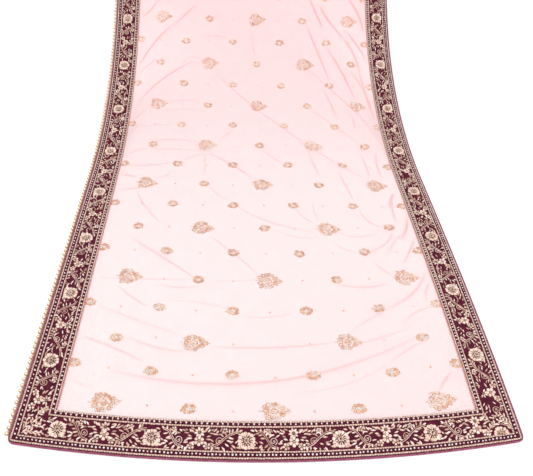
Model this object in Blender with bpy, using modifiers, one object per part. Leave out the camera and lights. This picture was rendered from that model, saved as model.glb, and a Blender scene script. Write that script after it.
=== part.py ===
"""Dupatta stole: a soft net panel edged all round with velvet strips, a covered piping and one beaded side.

The stole lies along Y with its near hem at -Y, runs flat on the surface, rises in one soft wave and comes
down again, so that the far hem lies flat too. Metres, +Z up, origin under the middle of its box.
"""
import math

import bmesh
import bpy
import numpy as np

# Cut of the stole, flat: outer edge to outer edge
LENGTH = 2.500
HALF_WIDTH = 0.475
BORDER_WIDTH = 0.075      # velvet strip with its braids and the piping

# Walls, and the clearance that touching pieces keep
NET_WALL = 0.0012
VELVET_WALL = 0.0015
BRAID_RISE = 0.0010
PIPING_WIDTH = 0.0060
PIPING_HEIGHT = 0.0034
GAP = 0.0003
MITRE_GAP = 0.0005
EDGING_REACH = 0.0088     # how far the bead edging stands out of the piping
EDGING_HEIGHT = 0.0052

# Side view of the stole: flat, a hollow sweep up, a round crest, a straight fall, a hollow foot, flat
NEAR_FLAT = 0.790
SWEEP_LENGTH = 0.766
SWEEP_ANGLE = math.radians(41)
CREST_LENGTH = 0.450
FALL_ANGLE = math.radians(60)
FOOT_LENGTH = 0.330

# Top view: the net draws the sides in and aside on the rise, and the near hem bows outwards
DRAWN_IN = 0.05           # share of the width
DRAWN_ASIDE = -0.034
DRAWN_AT = 1.50           # where along the length both are greatest
HEM_BOW = 0.036

# Velvet strip across its width: distance in from the outer edge, share of the braid's rise
VELVET_TRIM = PIPING_WIDTH + GAP
VELVET_ROWS = (
    (VELVET_TRIM, 1.0),
    (0.0190, 1.0),
    (0.0210, 0.0),
    (0.0605, 0.0),
    (0.0625, 1.0),
    (BORDER_WIDTH, 1.0),
)
PIPING_ROWS = (
    (0.0, 0.45),
    (0.0015, 1.0),
    (0.0045, 1.0),
    (PIPING_WIDTH, 0.45),
)
EDGING_ROWS = (
    (-EDGING_REACH, 0.35),
    (-EDGING_REACH + 0.0022, 1.0),
    (-GAP - 0.0022, 1.0),
    (-GAP, 0.35),
)

# Largest creases of the net, in the flat cut: from (across, along) to (across, along), sideways bend,
# rise and half width
CREASES = (
    (-0.300, 0.175, 0.115, 0.172, -0.020, 0.0060, 0.026),
    (0.060, 0.168, 0.320, 0.262, -0.016, 0.0065, 0.028),
    (-0.360, 0.262, -0.090, 0.198, -0.006, 0.0055, 0.028),
    (-0.370, 0.338, -0.180, 0.250, -0.004, 0.0060, 0.027),
    (-0.345, 0.565, -0.195, 0.428, 0.006, 0.0050, 0.030),
    (0.375, 0.405, 0.185, 0.270, 0.005, 0.0065, 0.028),
    (0.372, 0.580, 0.262, 0.470, -0.008, 0.0050, 0.028),
    (0.015, 1.055, 0.305, 0.755, -0.022, 0.0080, 0.032),
    (0.310, 1.110, 0.372, 0.850, 0.006, 0.0090, 0.030),
    (0.185, 1.520, 0.368, 1.080, 0.030, 0.0100, 0.034),
    (0.110, 1.400, 0.235, 1.060, 0.020, 0.0065, 0.030),
    (-0.190, 1.490, -0.365, 1.240, -0.026, 0.0090, 0.034),
    (-0.180, 1.280, -0.360, 1.095, -0.012, 0.0075, 0.030),
    (-0.260, 1.750, -0.060, 2.060, 0.024, 0.0090, 0.034),
    (0.345, 1.840, 0.140, 2.150, 0.020, 0.0085, 0.032),
    (-0.350, 2.050, -0.180, 2.260, 0.012, 0.0070, 0.030),
    (-0.020, 2.270, 0.290, 2.350, 0.010, 0.0055, 0.028),
)
CREASE_FADE = 0.035       # over this width a crease dies away at the velvet

# Meshes
CELLS_ALONG = 96
CELLS_ACROSS = 30
HEM_CELLS = 20
FIRST_STATION = BORDER_WIDTH + 0.008
NET_LINE = BORDER_WIDTH + 0.001
PROFILE_STEPS = 5000


def clear_scene():
    for old in list(bpy.data.objects):
        bpy.data.objects.remove(old, do_unlink=True)


def make_collection(name):
    collection = bpy.data.collections.new(name)
    bpy.context.scene.collection.children.link(collection)
    return collection


def make_material(name, colour, roughness, metallic=0.0):
    material = bpy.data.materials.new(name)
    material.use_nodes = True
    shader = material.node_tree.nodes["Principled BSDF"]
    shader.inputs["Base Color"].default_value = (*colour, 1.0)
    shader.inputs["Roughness"].default_value = roughness
    shader.inputs["Metallic"].default_value = metallic
    return material


def side_profile():
    """Arc lengths, distances along the surface, heights and slopes of the stole's side view."""
    sweep_radius = SWEEP_LENGTH / SWEEP_ANGLE
    crest_radius = CREST_LENGTH / (SWEEP_ANGLE + FALL_ANGLE)
    foot_radius = FOOT_LENGTH / FALL_ANGLE
    rise = sweep_radius * (1 - math.cos(SWEEP_ANGLE))
    over_crest = crest_radius * (math.cos(FALL_ANGLE) - math.cos(SWEEP_ANGLE))
    into_foot = foot_radius * (1 - math.cos(FALL_ANGLE))
    fall_length = (rise + over_crest - into_foot) / math.sin(FALL_ANGLE)
    ends = np.cumsum((0.0, NEAR_FLAT, SWEEP_LENGTH, CREST_LENGTH, fall_length, FOOT_LENGTH))
    slopes_at_ends = (0.0, 0.0, SWEEP_ANGLE, -FALL_ANGLE, -FALL_ANGLE, 0.0)
    along = np.linspace(0.0, LENGTH, PROFILE_STEPS + 1)
    slope = np.interp(along, ends, slopes_at_ends)
    step = along[1]
    middle = (slope[1:] + slope[:-1]) / 2
    forward = np.concatenate(((0.0,), np.cumsum(np.cos(middle)) * step))
    height = np.concatenate(((0.0,), np.cumsum(np.sin(middle)) * step))
    return along, forward, height, slope


ALONG, FORWARD, HEIGHT, SLOPE = side_profile()


def smooth(share):
    """Eases a share from 0 to 1, level at both ends."""
    share = min(max(share, 0.0), 1.0)
    return share * share * (3 - 2 * share)


def drawn_share(v):
    """0 at both hems, 1 where the net draws the sides in most."""
    return smooth(min(v / DRAWN_AT, (LENGTH - v) / (LENGTH - DRAWN_AT)))


def crease_rise(u, v):
    """Height of all creases at one point of the flat cut."""
    inside = min(HALF_WIDTH - NET_LINE - abs(u), v - FIRST_STATION, LENGTH - FIRST_STATION - v)
    if inside <= 0.0:
        return 0.0
    total = 0.0
    for u0, v0, u1, v1, bend, rise, spread in CREASES:
        length = math.hypot(u1 - u0, v1 - v0)
        run_u, run_v = (u1 - u0) / length, (v1 - v0) / length
        share = ((u - u0) * run_u + (v - v0) * run_v) / length
        if 0.0 < share < 1.0:
            off = (v - v0) * run_u - (u - u0) * run_v - 4 * bend * share * (1 - share)
            total += rise * math.sin(math.pi * share) ** 0.7 * math.exp(-(off / spread) ** 2)
    return total * smooth(inside / CREASE_FADE)


def place(u, v, lift):
    """Point of the laid stole over the flat cut's (u, v), moved out of the cloth by lift."""
    v_bowed = v + HEM_BOW * max(0.0, 1 - v / NEAR_FLAT) * (u / HALF_WIDTH) ** 2
    share = drawn_share(v)
    half = HALF_WIDTH * (1 - DRAWN_IN * share)
    net_half = HALF_WIDTH - BORDER_WIDTH
    if abs(u) <= net_half:
        x = u * (half - BORDER_WIDTH) / net_half
    else:
        x = math.copysign(half - HALF_WIDTH + abs(u), u)
    x += DRAWN_ASIDE * share
    slope = np.interp(v_bowed, ALONG, SLOPE)
    y = np.interp(v_bowed, ALONG, FORWARD) + min(v_bowed, 0.0) - lift * math.sin(slope)
    z = np.interp(v_bowed, ALONG, HEIGHT) + lift * math.cos(slope)
    return x, y, z


def laid_sheet(name, collection, material, columns, rows, cut_point, thickness, thin_share=1.0):
    """A grid laid on the cloth and given its wall by Solidify.

    cut_point(column, row) gives (u, v, lift, share of the full thickness).
    """
    mesh = bpy.data.meshes.new(name)
    grid = bmesh.new()
    bmesh.ops.create_grid(grid, x_segments=columns, y_segments=rows, size=1.0)
    grid.verts.ensure_lookup_table()
    shares = []
    for vertex in grid.verts:
        column = round((vertex.co.x + 1) / 2 * columns)
        row = round((vertex.co.y + 1) / 2 * rows)
        u, v, lift, share = cut_point(column, row)
        vertex.co = place(u, v, lift)
        shares.append(share)
    grid.to_mesh(mesh)
    grid.free()
    mesh.materials.append(material)
    sheet = bpy.data.objects.new(name, mesh)
    collection.objects.link(sheet)
    wall = sheet.modifiers.new("wall", "SOLIDIFY")
    wall.thickness = thickness
    wall.offset = 1.0
    if thin_share < 1.0:
        raised = sheet.vertex_groups.new(name="raised")
        for index, share in enumerate(shares):
            raised.add([index], share, "REPLACE")
        wall.vertex_group = "raised"
        wall.thickness_vertex_group = thin_share
    mesh.shade_smooth()
    mesh.set_sharp_from_angle(angle=math.radians(35))
    return sheet


STATIONS = np.linspace(FIRST_STATION, LENGTH - FIRST_STATION, CELLS_ALONG + 1)


def net_ground(collection, material):
    edge = HALF_WIDTH - VELVET_TRIM
    line = HALF_WIDTH - NET_LINE
    across = np.concatenate(((-edge,), np.linspace(-line, line, CELLS_ACROSS + 1), (edge,)))
    along = np.concatenate(((VELVET_TRIM,), STATIONS, (LENGTH - VELVET_TRIM,)))

    def cut_point(column, row):
        u, v = float(across[column]), float(along[row])
        return u, v, crease_rise(u, v), 1.0

    laid_sheet("net_ground", collection, material, len(across) - 1, len(along) - 1, cut_point, NET_WALL)


def side_strip(name, collection, material, side, table, base, wall, rise, end_inset):
    """Strip along a long edge: side is -1 on the left and 1 on the right."""
    ordered = table if side < 0 else table[::-1]

    def cut_point(column, row):
        inset, share = ordered[column]
        if row == 0:
            v = end_inset(inset)
        elif row == CELLS_ALONG + 2:
            v = LENGTH - end_inset(inset)
        else:
            v = float(STATIONS[row - 1])
        return side * (HALF_WIDTH - inset), v, base, share

    laid_sheet(name, collection, material, len(table) - 1, CELLS_ALONG + 2, cut_point, wall + rise,
               wall / (wall + rise))


def hem_strip(name, collection, material, far, table, base, wall, rise):
    """Strip along the near or far hem, mitred into the side strips."""
    ordered = table[::-1] if far else table

    def cut_point(column, row):
        inset, share = ordered[row]
        reach = HALF_WIDTH - inset - MITRE_GAP
        u = (2 * column / HEM_CELLS - 1) * reach
        return u, (LENGTH - inset if far else inset), base, share

    laid_sheet(name, collection, material, HEM_CELLS, len(table) - 1, cut_point, wall + rise,
               wall / (wall + rise))


def mitred(inset):
    return inset + MITRE_GAP


def clear_of_corner(_inset):
    return EDGING_REACH


def build():
    clear_scene()
    stole = make_collection("dupatta_stole")
    net = make_material("net", (0.95, 0.80, 0.80), 0.75)
    velvet = make_material("velvet", (0.115, 0.010, 0.038), 0.85)
    satin = make_material("satin", (0.27, 0.058, 0.138), 0.40)
    gold_beads = make_material("gold_beads", (0.78, 0.58, 0.32), 0.30, 0.9)

    net_ground(stole, net)
    velvet_base = NET_WALL + GAP
    hem_strip("border_near", stole, velvet, False, VELVET_ROWS, velvet_base, VELVET_WALL, BRAID_RISE)
    hem_strip("border_far", stole, velvet, True, VELVET_ROWS, velvet_base, VELVET_WALL, BRAID_RISE)
    hem_strip("piping_near", stole, satin, False, PIPING_ROWS, 0.0, 0.0, PIPING_HEIGHT)
    hem_strip("piping_far", stole, satin, True, PIPING_ROWS, 0.0, 0.0, PIPING_HEIGHT)
    for word, side in (("left", -1), ("right", 1)):
        side_strip("border_" + word, stole, velvet, side, VELVET_ROWS, velvet_base, VELVET_WALL,
                   BRAID_RISE, mitred)
        side_strip("piping_" + word, stole, satin, side, PIPING_ROWS, 0.0, 0.0, PIPING_HEIGHT, mitred)
    side_strip("bead_edging", stole, gold_beads, -1, EDGING_ROWS, GAP, 0.0, EDGING_HEIGHT, clear_of_corner)
    stand_on_origin(stole)


def stand_on_origin(collection):
    """Moves every piece so that the middle of the whole box's underside is the origin."""
    bpy.context.view_layer.update()
    graph = bpy.context.evaluated_depsgraph_get()
    corners = []
    for piece in collection.objects:
        corners.extend(tuple(corner) for corner in piece.evaluated_get(graph).bound_box)
    low = np.min(corners, axis=0)
    high = np.max(corners, axis=0)
    for piece in collection.objects:
        piece.location = (-(low[0] + high[0]) / 2, -(low[1] + high[1]) / 2, -low[2])


build()
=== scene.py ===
"""Dupatta stole: soft net with worked flowers, edged with velvet, gold lines, pearls and satin piping.

Metres, +Z up. Every piece is drawn on the flat cut, u across it and v along it from the near hem, with its
lift above the cloth's underside, and is then laid: flat, up over one soft wave, and down to the far hem.
"""

import math

import bpy
import numpy as np
from mathutils import Matrix, Vector
from mathutils.geometry import delaunay_2d_cdt


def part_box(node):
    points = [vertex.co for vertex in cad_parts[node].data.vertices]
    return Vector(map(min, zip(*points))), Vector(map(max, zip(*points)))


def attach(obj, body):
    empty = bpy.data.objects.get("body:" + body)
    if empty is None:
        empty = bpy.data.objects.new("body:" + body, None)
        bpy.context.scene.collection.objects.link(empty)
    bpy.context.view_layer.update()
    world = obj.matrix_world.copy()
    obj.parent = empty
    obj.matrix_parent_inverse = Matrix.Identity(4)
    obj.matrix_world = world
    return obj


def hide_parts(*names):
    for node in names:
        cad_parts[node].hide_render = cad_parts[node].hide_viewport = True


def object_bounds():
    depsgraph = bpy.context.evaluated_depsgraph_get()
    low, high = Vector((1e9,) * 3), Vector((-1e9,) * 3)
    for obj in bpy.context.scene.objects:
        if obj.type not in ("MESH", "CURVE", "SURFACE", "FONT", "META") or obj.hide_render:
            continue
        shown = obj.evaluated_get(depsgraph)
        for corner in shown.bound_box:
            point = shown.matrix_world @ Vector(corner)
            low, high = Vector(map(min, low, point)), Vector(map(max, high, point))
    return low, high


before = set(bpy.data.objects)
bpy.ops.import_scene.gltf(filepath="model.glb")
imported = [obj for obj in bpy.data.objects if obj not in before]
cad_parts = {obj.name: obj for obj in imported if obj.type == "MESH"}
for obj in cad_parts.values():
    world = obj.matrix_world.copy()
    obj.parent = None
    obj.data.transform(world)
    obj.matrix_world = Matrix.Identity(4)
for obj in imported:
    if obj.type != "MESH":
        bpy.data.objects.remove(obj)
cad_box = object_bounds()
MM = 0.001

# ---- Net panel ---------------------------------------------------------------------------------------
# One length of soft pink net, cut to the full size of the stole. It is drawn in a little where it rises,
# and pinched creases are left in it where it was pulled straight. Everything else is sewn to it.

CUT_LENGTH = 2.500
CUT_HALF = 0.475
BORDER = 0.075
PIPING_WIDTH = 6.3 * MM      # with the narrow gap between the piping and the velvet
NET_UNDERSIDE = 0.4 * MM
NET_THREAD = 0.5 * MM

# Side view: flat, a hollow sweep up, a round crest, a straight fall, a hollow foot, flat
NEAR_FLAT = 0.790
SWEEP_LENGTH = 0.766
SWEEP_ANGLE = math.radians(41)
CREST_LENGTH = 0.450
FALL_ANGLE = math.radians(60)
FOOT_LENGTH = 0.330
ARC_STEP = 0.5 * MM

# Top view: the sides are drawn in and aside on the rise, and the near hem bows outwards
DRAWN_IN = 0.05
DRAWN_ASIDE = -0.034
DRAWN_AT = 1.50
HEM_BOW = 0.036
CORNER_ROUND = 0.016


def side_view():
    """Arc lengths, runs, heights and slopes of the laid stole, seen from the side."""
    sweep = SWEEP_LENGTH / SWEEP_ANGLE
    crest = CREST_LENGTH / (SWEEP_ANGLE + FALL_ANGLE)
    foot = FOOT_LENGTH / FALL_ANGLE
    top_of_sweep = sweep * (1 - math.cos(SWEEP_ANGLE))
    top_of_fall = top_of_sweep + crest * (math.cos(FALL_ANGLE) - math.cos(SWEEP_ANGLE))
    fall_length = (top_of_fall - foot * (1 - math.cos(FALL_ANGLE))) / math.sin(FALL_ANGLE)
    ends = np.cumsum((0.0, NEAR_FLAT, SWEEP_LENGTH, CREST_LENGTH, fall_length, FOOT_LENGTH))
    arc = np.linspace(0.0, CUT_LENGTH, round(CUT_LENGTH / ARC_STEP) + 1)
    slope = np.interp(arc, ends, (0.0, 0.0, SWEEP_ANGLE, -FALL_ANGLE, -FALL_ANGLE, 0.0))
    middle = (slope[1:] + slope[:-1]) / 2
    run = np.concatenate(((0.0,), np.cumsum(np.cos(middle)) * arc[1]))
    height = np.concatenate(((0.0,), np.cumsum(np.sin(middle)) * arc[1]))
    return arc, run, height, slope


def eased(share):
    """Runs a share from 0 to 1, level at both ends."""
    share = np.clip(share, 0.0, 1.0)
    return share * share * (3 - 2 * share)


ARC, RUN, HEIGHT, SLOPE = side_view()
# From the flat cut's middle and near hem to the frame's
SHIFT_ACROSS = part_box("border_right")[1][0] - (CUT_HALF - PIPING_WIDTH)
SHIFT_ALONG = cad_box[0].y


def corners_rounded(u, v):
    """The flat cut's (u, v) with its four square corners eased into round ones."""
    from_side = CUT_HALF - np.abs(u)
    from_hem = np.minimum(v, CUT_LENGTH - v)
    p = np.maximum(0.0, 1 - from_side / CORNER_ROUND)
    q = np.maximum(0.0, 1 - from_hem / CORNER_ROUND)
    eased_p = p * np.sqrt(np.clip(1 - q * q / 2, 0.05, 1.0))
    eased_q = q * np.sqrt(np.clip(1 - p * p / 2, 0.05, 1.0))
    u = u + np.sign(u) * (eased_p - p) * CORNER_ROUND
    return u, v + np.where(v < CUT_LENGTH / 2, q - eased_q, eased_q - q) * CORNER_ROUND


def laid(u, v, lift):
    """Points of the laid stole over the flat cut's (u, v), moved out of the cloth by lift."""
    u, v = corners_rounded(u, v)
    bowed = v + HEM_BOW * np.maximum(0.0, 1 - v / NEAR_FLAT) * (u / CUT_HALF) ** 2
    share = eased(np.minimum(v / DRAWN_AT, (CUT_LENGTH - v) / (CUT_LENGTH - DRAWN_AT)))
    half = CUT_HALF * (1 - DRAWN_IN * share)
    net_half = CUT_HALF - BORDER
    on_net = u * (half - BORDER) / net_half
    on_border = np.copysign(half - CUT_HALF + np.abs(u), u)
    x = np.where(np.abs(u) <= net_half, on_net, on_border) + DRAWN_ASIDE * share + SHIFT_ACROSS
    slope = np.interp(bowed, ARC, SLOPE)
    y = np.interp(bowed, ARC, RUN) + np.minimum(bowed, 0.0) - lift * np.sin(slope) + SHIFT_ALONG
    z = np.interp(bowed, ARC, HEIGHT) + lift * np.cos(slope)
    return np.stack((x, y, z), axis=-1)


# Soft ridges: from (across, along) to (across, along), sideways bend, rise and half width
RIDGES = (
    (-0.300, 0.175, 0.115, 0.172, -0.020, 0.0035, 0.017),
    (0.060, 0.168, 0.320, 0.262, -0.016, 0.0040, 0.018),
    (-0.360, 0.262, -0.090, 0.198, -0.006, 0.0035, 0.018),
    (-0.370, 0.338, -0.180, 0.250, -0.004, 0.0038, 0.018),
    (-0.345, 0.565, -0.195, 0.428, 0.006, 0.0036, 0.022),
    (0.375, 0.405, 0.185, 0.270, 0.005, 0.0042, 0.019),
    (0.372, 0.580, 0.262, 0.470, -0.008, 0.0050, 0.028),
    (0.015, 1.055, 0.305, 0.755, -0.022, 0.0080, 0.032),
    (0.310, 1.110, 0.372, 0.850, 0.006, 0.0090, 0.030),
    (0.185, 1.520, 0.368, 1.080, 0.030, 0.0100, 0.034),
    (0.110, 1.400, 0.235, 1.060, 0.020, 0.0065, 0.030),
    (-0.190, 1.490, -0.365, 1.240, -0.026, 0.0090, 0.034),
    (-0.180, 1.280, -0.360, 1.095, -0.012, 0.0075, 0.030),
    (-0.260, 1.750, -0.060, 2.060, 0.024, 0.0090, 0.034),
    (0.345, 1.840, 0.140, 2.150, 0.020, 0.0085, 0.032),
    (-0.350, 2.050, -0.180, 2.260, 0.012, 0.0070, 0.030),
    (-0.020, 2.270, 0.290, 2.350, 0.010, 0.0055, 0.028),
)
# Pinched creases: from (across, along) to (across, along), sideways bend, and strength
PINCHES = (
    # Swags hanging between the two long sides, from the near hem on
    (-0.320, 0.170, 0.315, 0.245, -0.052, 0.55),
    (-0.390, 0.245, -0.255, 0.195, 0.003, 0.45),
    (-0.295, 0.250, -0.170, 0.220, -0.008, 0.45),
    (-0.120, 0.235, 0.145, 0.245, -0.006, 0.40),
    (0.190, 0.240, 0.315, 0.275, -0.003, 0.30),
    (-0.365, 0.325, -0.185, 0.260, -0.002, 0.35),
    (-0.210, 0.350, -0.075, 0.330, 0.005, 0.22),
    (-0.045, 0.310, 0.065, 0.320, -0.005, 0.25),
    (-0.245, 0.395, -0.145, 0.395, -0.009, 0.35),
    (-0.390, 0.405, -0.160, 0.410, 0.000, 0.25),
    (-0.130, 0.405, -0.015, 0.410, 0.002, 0.20),
    (0.170, 0.400, 0.295, 0.400, -0.011, 0.45),
    (0.050, 0.135, 0.255, 0.195, -0.017, 0.20),
    (-0.395, 0.150, -0.345, 0.130, -0.004, 0.20),
    # Pulls running aslant from flower to flower
    (-0.140, 1.215, 0.315, 0.765, -0.007, 0.55),
    (0.185, 1.215, 0.395, 0.890, 0.032, 0.60),
    (0.185, 1.065, 0.330, 0.910, 0.005, 0.40),
    (-0.150, 0.880, -0.015, 0.770, 0.007, 0.55),
    (0.020, 0.895, 0.080, 0.835, -0.003, 0.40),
    (-0.065, 0.660, 0.135, 0.570, -0.017, 0.35),
    (-0.325, 0.535, -0.160, 0.415, -0.001, 0.50),
    (-0.130, 0.550, -0.010, 0.425, 0.003, 0.35),
    (-0.330, 0.380, -0.260, 0.330, -0.003, 0.38),
    (0.030, 0.580, 0.155, 0.550, -0.016, 0.25),
    (0.190, 0.575, 0.305, 0.570, -0.024, 0.35),
    (0.180, 0.535, 0.240, 0.495, -0.008, 0.30),
    (0.095, 0.655, 0.145, 0.595, -0.007, 0.30),
    (0.270, 0.650, 0.320, 0.580, -0.014, 0.45),
    (0.145, 0.685, 0.155, 0.600, -0.004, 0.32),
    (-0.305, 0.655, -0.260, 0.595, -0.005, 0.35),
    (0.275, 0.460, 0.310, 0.420, -0.003, 0.40),
    (-0.115, 0.930, -0.075, 0.975, -0.002, 0.40),
    (-0.155, 0.875, -0.155, 0.775, 0.000, 0.32),
    (-0.005, 1.375, 0.005, 1.265, -0.002, 0.38),
    (-0.140, 0.740, -0.085, 0.680, -0.005, 0.30),
    (0.155, 0.875, 0.180, 0.785, 0.001, 0.50),
    (0.235, 0.800, 0.260, 0.685, 0.001, 0.50),
    # Folds drawn in from the left side
    (-0.390, 1.065, -0.205, 1.245, 0.016, 0.70),
    (-0.395, 1.215, -0.285, 1.375, 0.009, 0.75),
    (-0.275, 1.380, -0.205, 1.455, -0.001, 0.60),
    (-0.390, 1.405, -0.335, 1.470, -0.003, 0.60),
    (-0.395, 1.175, -0.325, 1.255, 0.008, 0.45),
    (-0.220, 1.260, -0.175, 1.250, 0.005, 0.40),
    (-0.185, 1.340, -0.080, 1.335, 0.008, 0.32),
    (-0.295, 1.085, -0.175, 1.090, 0.005, 0.42),
    (-0.285, 1.055, -0.160, 1.050, 0.004, 0.38),
    (-0.395, 0.990, -0.355, 1.045, 0.005, 0.50),
    (-0.355, 0.980, -0.255, 0.990, 0.005, 0.38),
    (-0.390, 0.955, -0.350, 0.995, 0.004, 0.40),
    (-0.315, 0.925, -0.175, 0.920, 0.009, 0.50),
    (-0.385, 0.865, -0.330, 0.890, 0.008, 0.45),
    (-0.310, 0.890, -0.170, 0.885, 0.004, 0.40),
    (-0.380, 0.820, -0.255, 0.835, -0.006, 0.40),
    (-0.225, 0.845, -0.160, 0.880, -0.001, 0.35),
    (-0.290, 0.765, -0.250, 0.800, -0.007, 0.38),
    (-0.390, 0.780, -0.345, 0.770, 0.000, 0.50),
    (-0.380, 0.715, -0.325, 0.725, 0.000, 0.45),
    (-0.335, 0.710, -0.300, 0.640, -0.003, 0.42),
    # Folds drawn in from the right side
    (0.200, 1.485, 0.245, 1.380, -0.001, 0.85),
    (0.185, 1.395, 0.255, 1.180, 0.004, 0.80),
    (0.235, 1.460, 0.315, 1.340, -0.005, 1.00),
    (0.315, 1.340, 0.360, 1.220, 0.011, 1.00),
    (0.360, 1.220, 0.395, 1.015, -0.004, 0.90),
    (0.340, 1.490, 0.390, 1.370, 0.010, 1.00),
    (0.325, 1.375, 0.390, 1.270, 0.004, 0.85),
    (0.255, 1.310, 0.335, 1.105, 0.008, 0.80),
    (0.230, 1.145, 0.265, 1.030, 0.004, 0.70),
    (0.330, 1.215, 0.390, 1.050, 0.010, 0.70),
    (0.310, 1.045, 0.315, 0.975, 0.005, 0.55),
    (0.365, 0.890, 0.360, 0.785, -0.004, 0.60),
    (0.320, 0.880, 0.325, 0.780, 0.002, 0.45),
    (0.380, 0.715, 0.355, 0.650, -0.004, 0.75),
    (0.370, 0.690, 0.360, 0.605, -0.005, 0.60),
    (0.395, 0.650, 0.355, 0.535, 0.010, 0.75),
    (0.260, 0.495, 0.340, 0.565, -0.015, 0.55),
    (0.315, 0.490, 0.385, 0.565, 0.011, 0.50),
    (0.345, 0.460, 0.395, 0.545, -0.001, 0.55),
    (0.270, 0.325, 0.390, 0.430, -0.017, 0.55),
    (0.185, 0.270, 0.265, 0.315, 0.004, 0.32),
    (0.305, 0.290, 0.390, 0.330, 0.008, 0.35),
    (0.370, 0.345, 0.395, 0.400, 0.006, 0.40),
    (0.255, 0.190, 0.350, 0.240, 0.008, 0.32),
    (0.340, 0.125, 0.375, 0.160, 0.002, 0.50),
    # Folds over the crest and down to the far hem
    (-0.330, 1.560, -0.210, 1.690, 0.012, 0.60),
    (-0.265, 1.750, -0.065, 2.060, 0.024, 0.95),
    (-0.120, 1.780, 0.020, 1.960, -0.014, 0.45),
    (0.340, 1.640, 0.385, 1.800, 0.006, 0.70),
    (0.345, 1.840, 0.140, 2.150, 0.020, 0.90),
    (0.120, 1.700, 0.250, 1.830, 0.010, 0.40),
    (0.390, 1.900, 0.330, 2.010, 0.000, 0.60),
    (-0.390, 1.840, -0.320, 1.930, 0.004, 0.60),
    (-0.350, 2.050, -0.180, 2.260, 0.012, 0.80),
    (-0.388, 2.180, -0.300, 2.280, 0.000, 0.60),
    (0.385, 2.120, 0.300, 2.220, -0.006, 0.65),
    (-0.020, 2.270, 0.290, 2.350, 0.010, 0.70),
    (0.300, 2.300, 0.380, 2.240, 0.000, 0.60),
    (-0.290, 2.330, -0.050, 2.345, -0.008, 0.45),
)
PINCH_RISE = 1.9 * MM
PINCH_SPREAD = 1.9 * MM
LEAST_SPREAD = 0.75          # share of that spread that every crease has, with its strength on top
PINCH_TAPER = 0.45           # the higher, the sooner a crease dies away towards its ends
RIDGE_TAPER = 0.7
RIDGE_FADE = 0.035           # over this width a ridge dies away at the velvet
PINCH_HOLDS = 2.5            # a pinched crease dies away this much less there
# The net gathers more cloth in as it rises, up to a share of 1, and lies flatter again down to the far
# hem. It is also fuller in its near half, most of all on the right, and beside the velvet where it rises.
FULLER_FROM, FULLER_OVER = 0.17, 1.72
FLATTER_OVER = 0.5
NEAR_FULLER = (0.03, 0.38)   # on the left and on the right
NEAR_HALF = 0.85
SIDES_FULLER = 0.40
SIDES_FROM, SIDES_OVER = 1.12, 0.35
NET_EDGE = CUT_HALF - PIPING_WIDTH
# Fuller net and pinched net are deeper in colour and let less through
NET_HOLE = 1.35 * MM
FULLER_DEEPER, SLUB_DEEPER = 0.31, 0.14
HOLES_COVER, THREADS_COVER = 0.28, 0.50
FULLER_COVERS, PINCHED_COVERS = 0.21, 0.38

# The mesh of the net: spacing of its even grid, of the points along a crease and beside it, about the
# least distance between two of those, and how far they reach in under the velvet
GRID_STEP = 15.5 * MM
CREASE_STEP = 6.5 * MM
BESIDE_CREASE = np.array((-8.0, -4.6, -2.6, -1.2, 0.0, 1.2, 2.6, 4.6, 8.0)) * MM
LEAST_APART = 1.4 * MM
UNDER_VELVET = 8 * MM


def on_crease(u, v, row):
    """Distance to a crease's line on its left, and how near its middle, from 0 at its ends to 1."""
    u0, v0, u1, v1, bend = row[:5]
    length = math.hypot(u1 - u0, v1 - v0)
    run_u, run_v = (u1 - u0) / length, (v1 - v0) / length
    share = ((u - u0) * run_u + (v - v0) * run_v) / length
    middle = np.clip(4 * share * (1 - share), 0.0, 1.0)
    return (v - v0) * run_u - (u - u0) * run_v - bend * middle, middle


def inside_velvet(u, v):
    """0 at the velvet's inner edge, and 1 where a ridge has its full rise."""
    inside = np.minimum(CUT_HALF - BORDER - np.abs(u), np.minimum(v, CUT_LENGTH - v) - BORDER)
    return eased(inside / RIDGE_FADE)


def pinched(u, v):
    """How strongly the net is pinched at a point, from 0 to 1."""
    total = np.zeros(np.shape(u))
    for row in PINCHES:
        off, middle = on_crease(u, v, row)
        spread = PINCH_SPREAD * (LEAST_SPREAD + row[5])
        total = np.maximum(total, row[5] * middle ** PINCH_TAPER * np.exp(-(off / spread) ** 2))
    return total * np.clip(inside_velvet(u, v) * PINCH_HOLDS, 0.0, 1.0)


def fullness(u, v):
    """How much more cloth is gathered in, from 0 where the net lies flattest."""
    across = u / (CUT_HALF - BORDER)
    rising = eased((v - FULLER_FROM) / FULLER_OVER)
    left, right = NEAR_FULLER
    near = (left + (right - left) * eased((across + 1) / 2)) * (1 - eased(v / NEAR_HALF))
    beside = SIDES_FULLER * across ** 4 * eased((v - SIDES_FROM) / SIDES_OVER)
    return (rising + near + beside) * eased((CUT_LENGTH - 2 * BORDER - v) / FLATTER_OVER)


def net_top(u, v):
    """Lift of the net's upper face: soft ridges with the pinched creases on them."""
    total = np.zeros(np.shape(u))
    for row in RIDGES:
        off, middle = on_crease(u, v, row)
        total = total + row[5] * middle ** RIDGE_TAPER * np.exp(-(off / row[6]) ** 2)
    total = total * inside_velvet(u, v)
    return NET_UNDERSIDE + NET_THREAD + total + PINCH_RISE * pinched(u, v)


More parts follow.
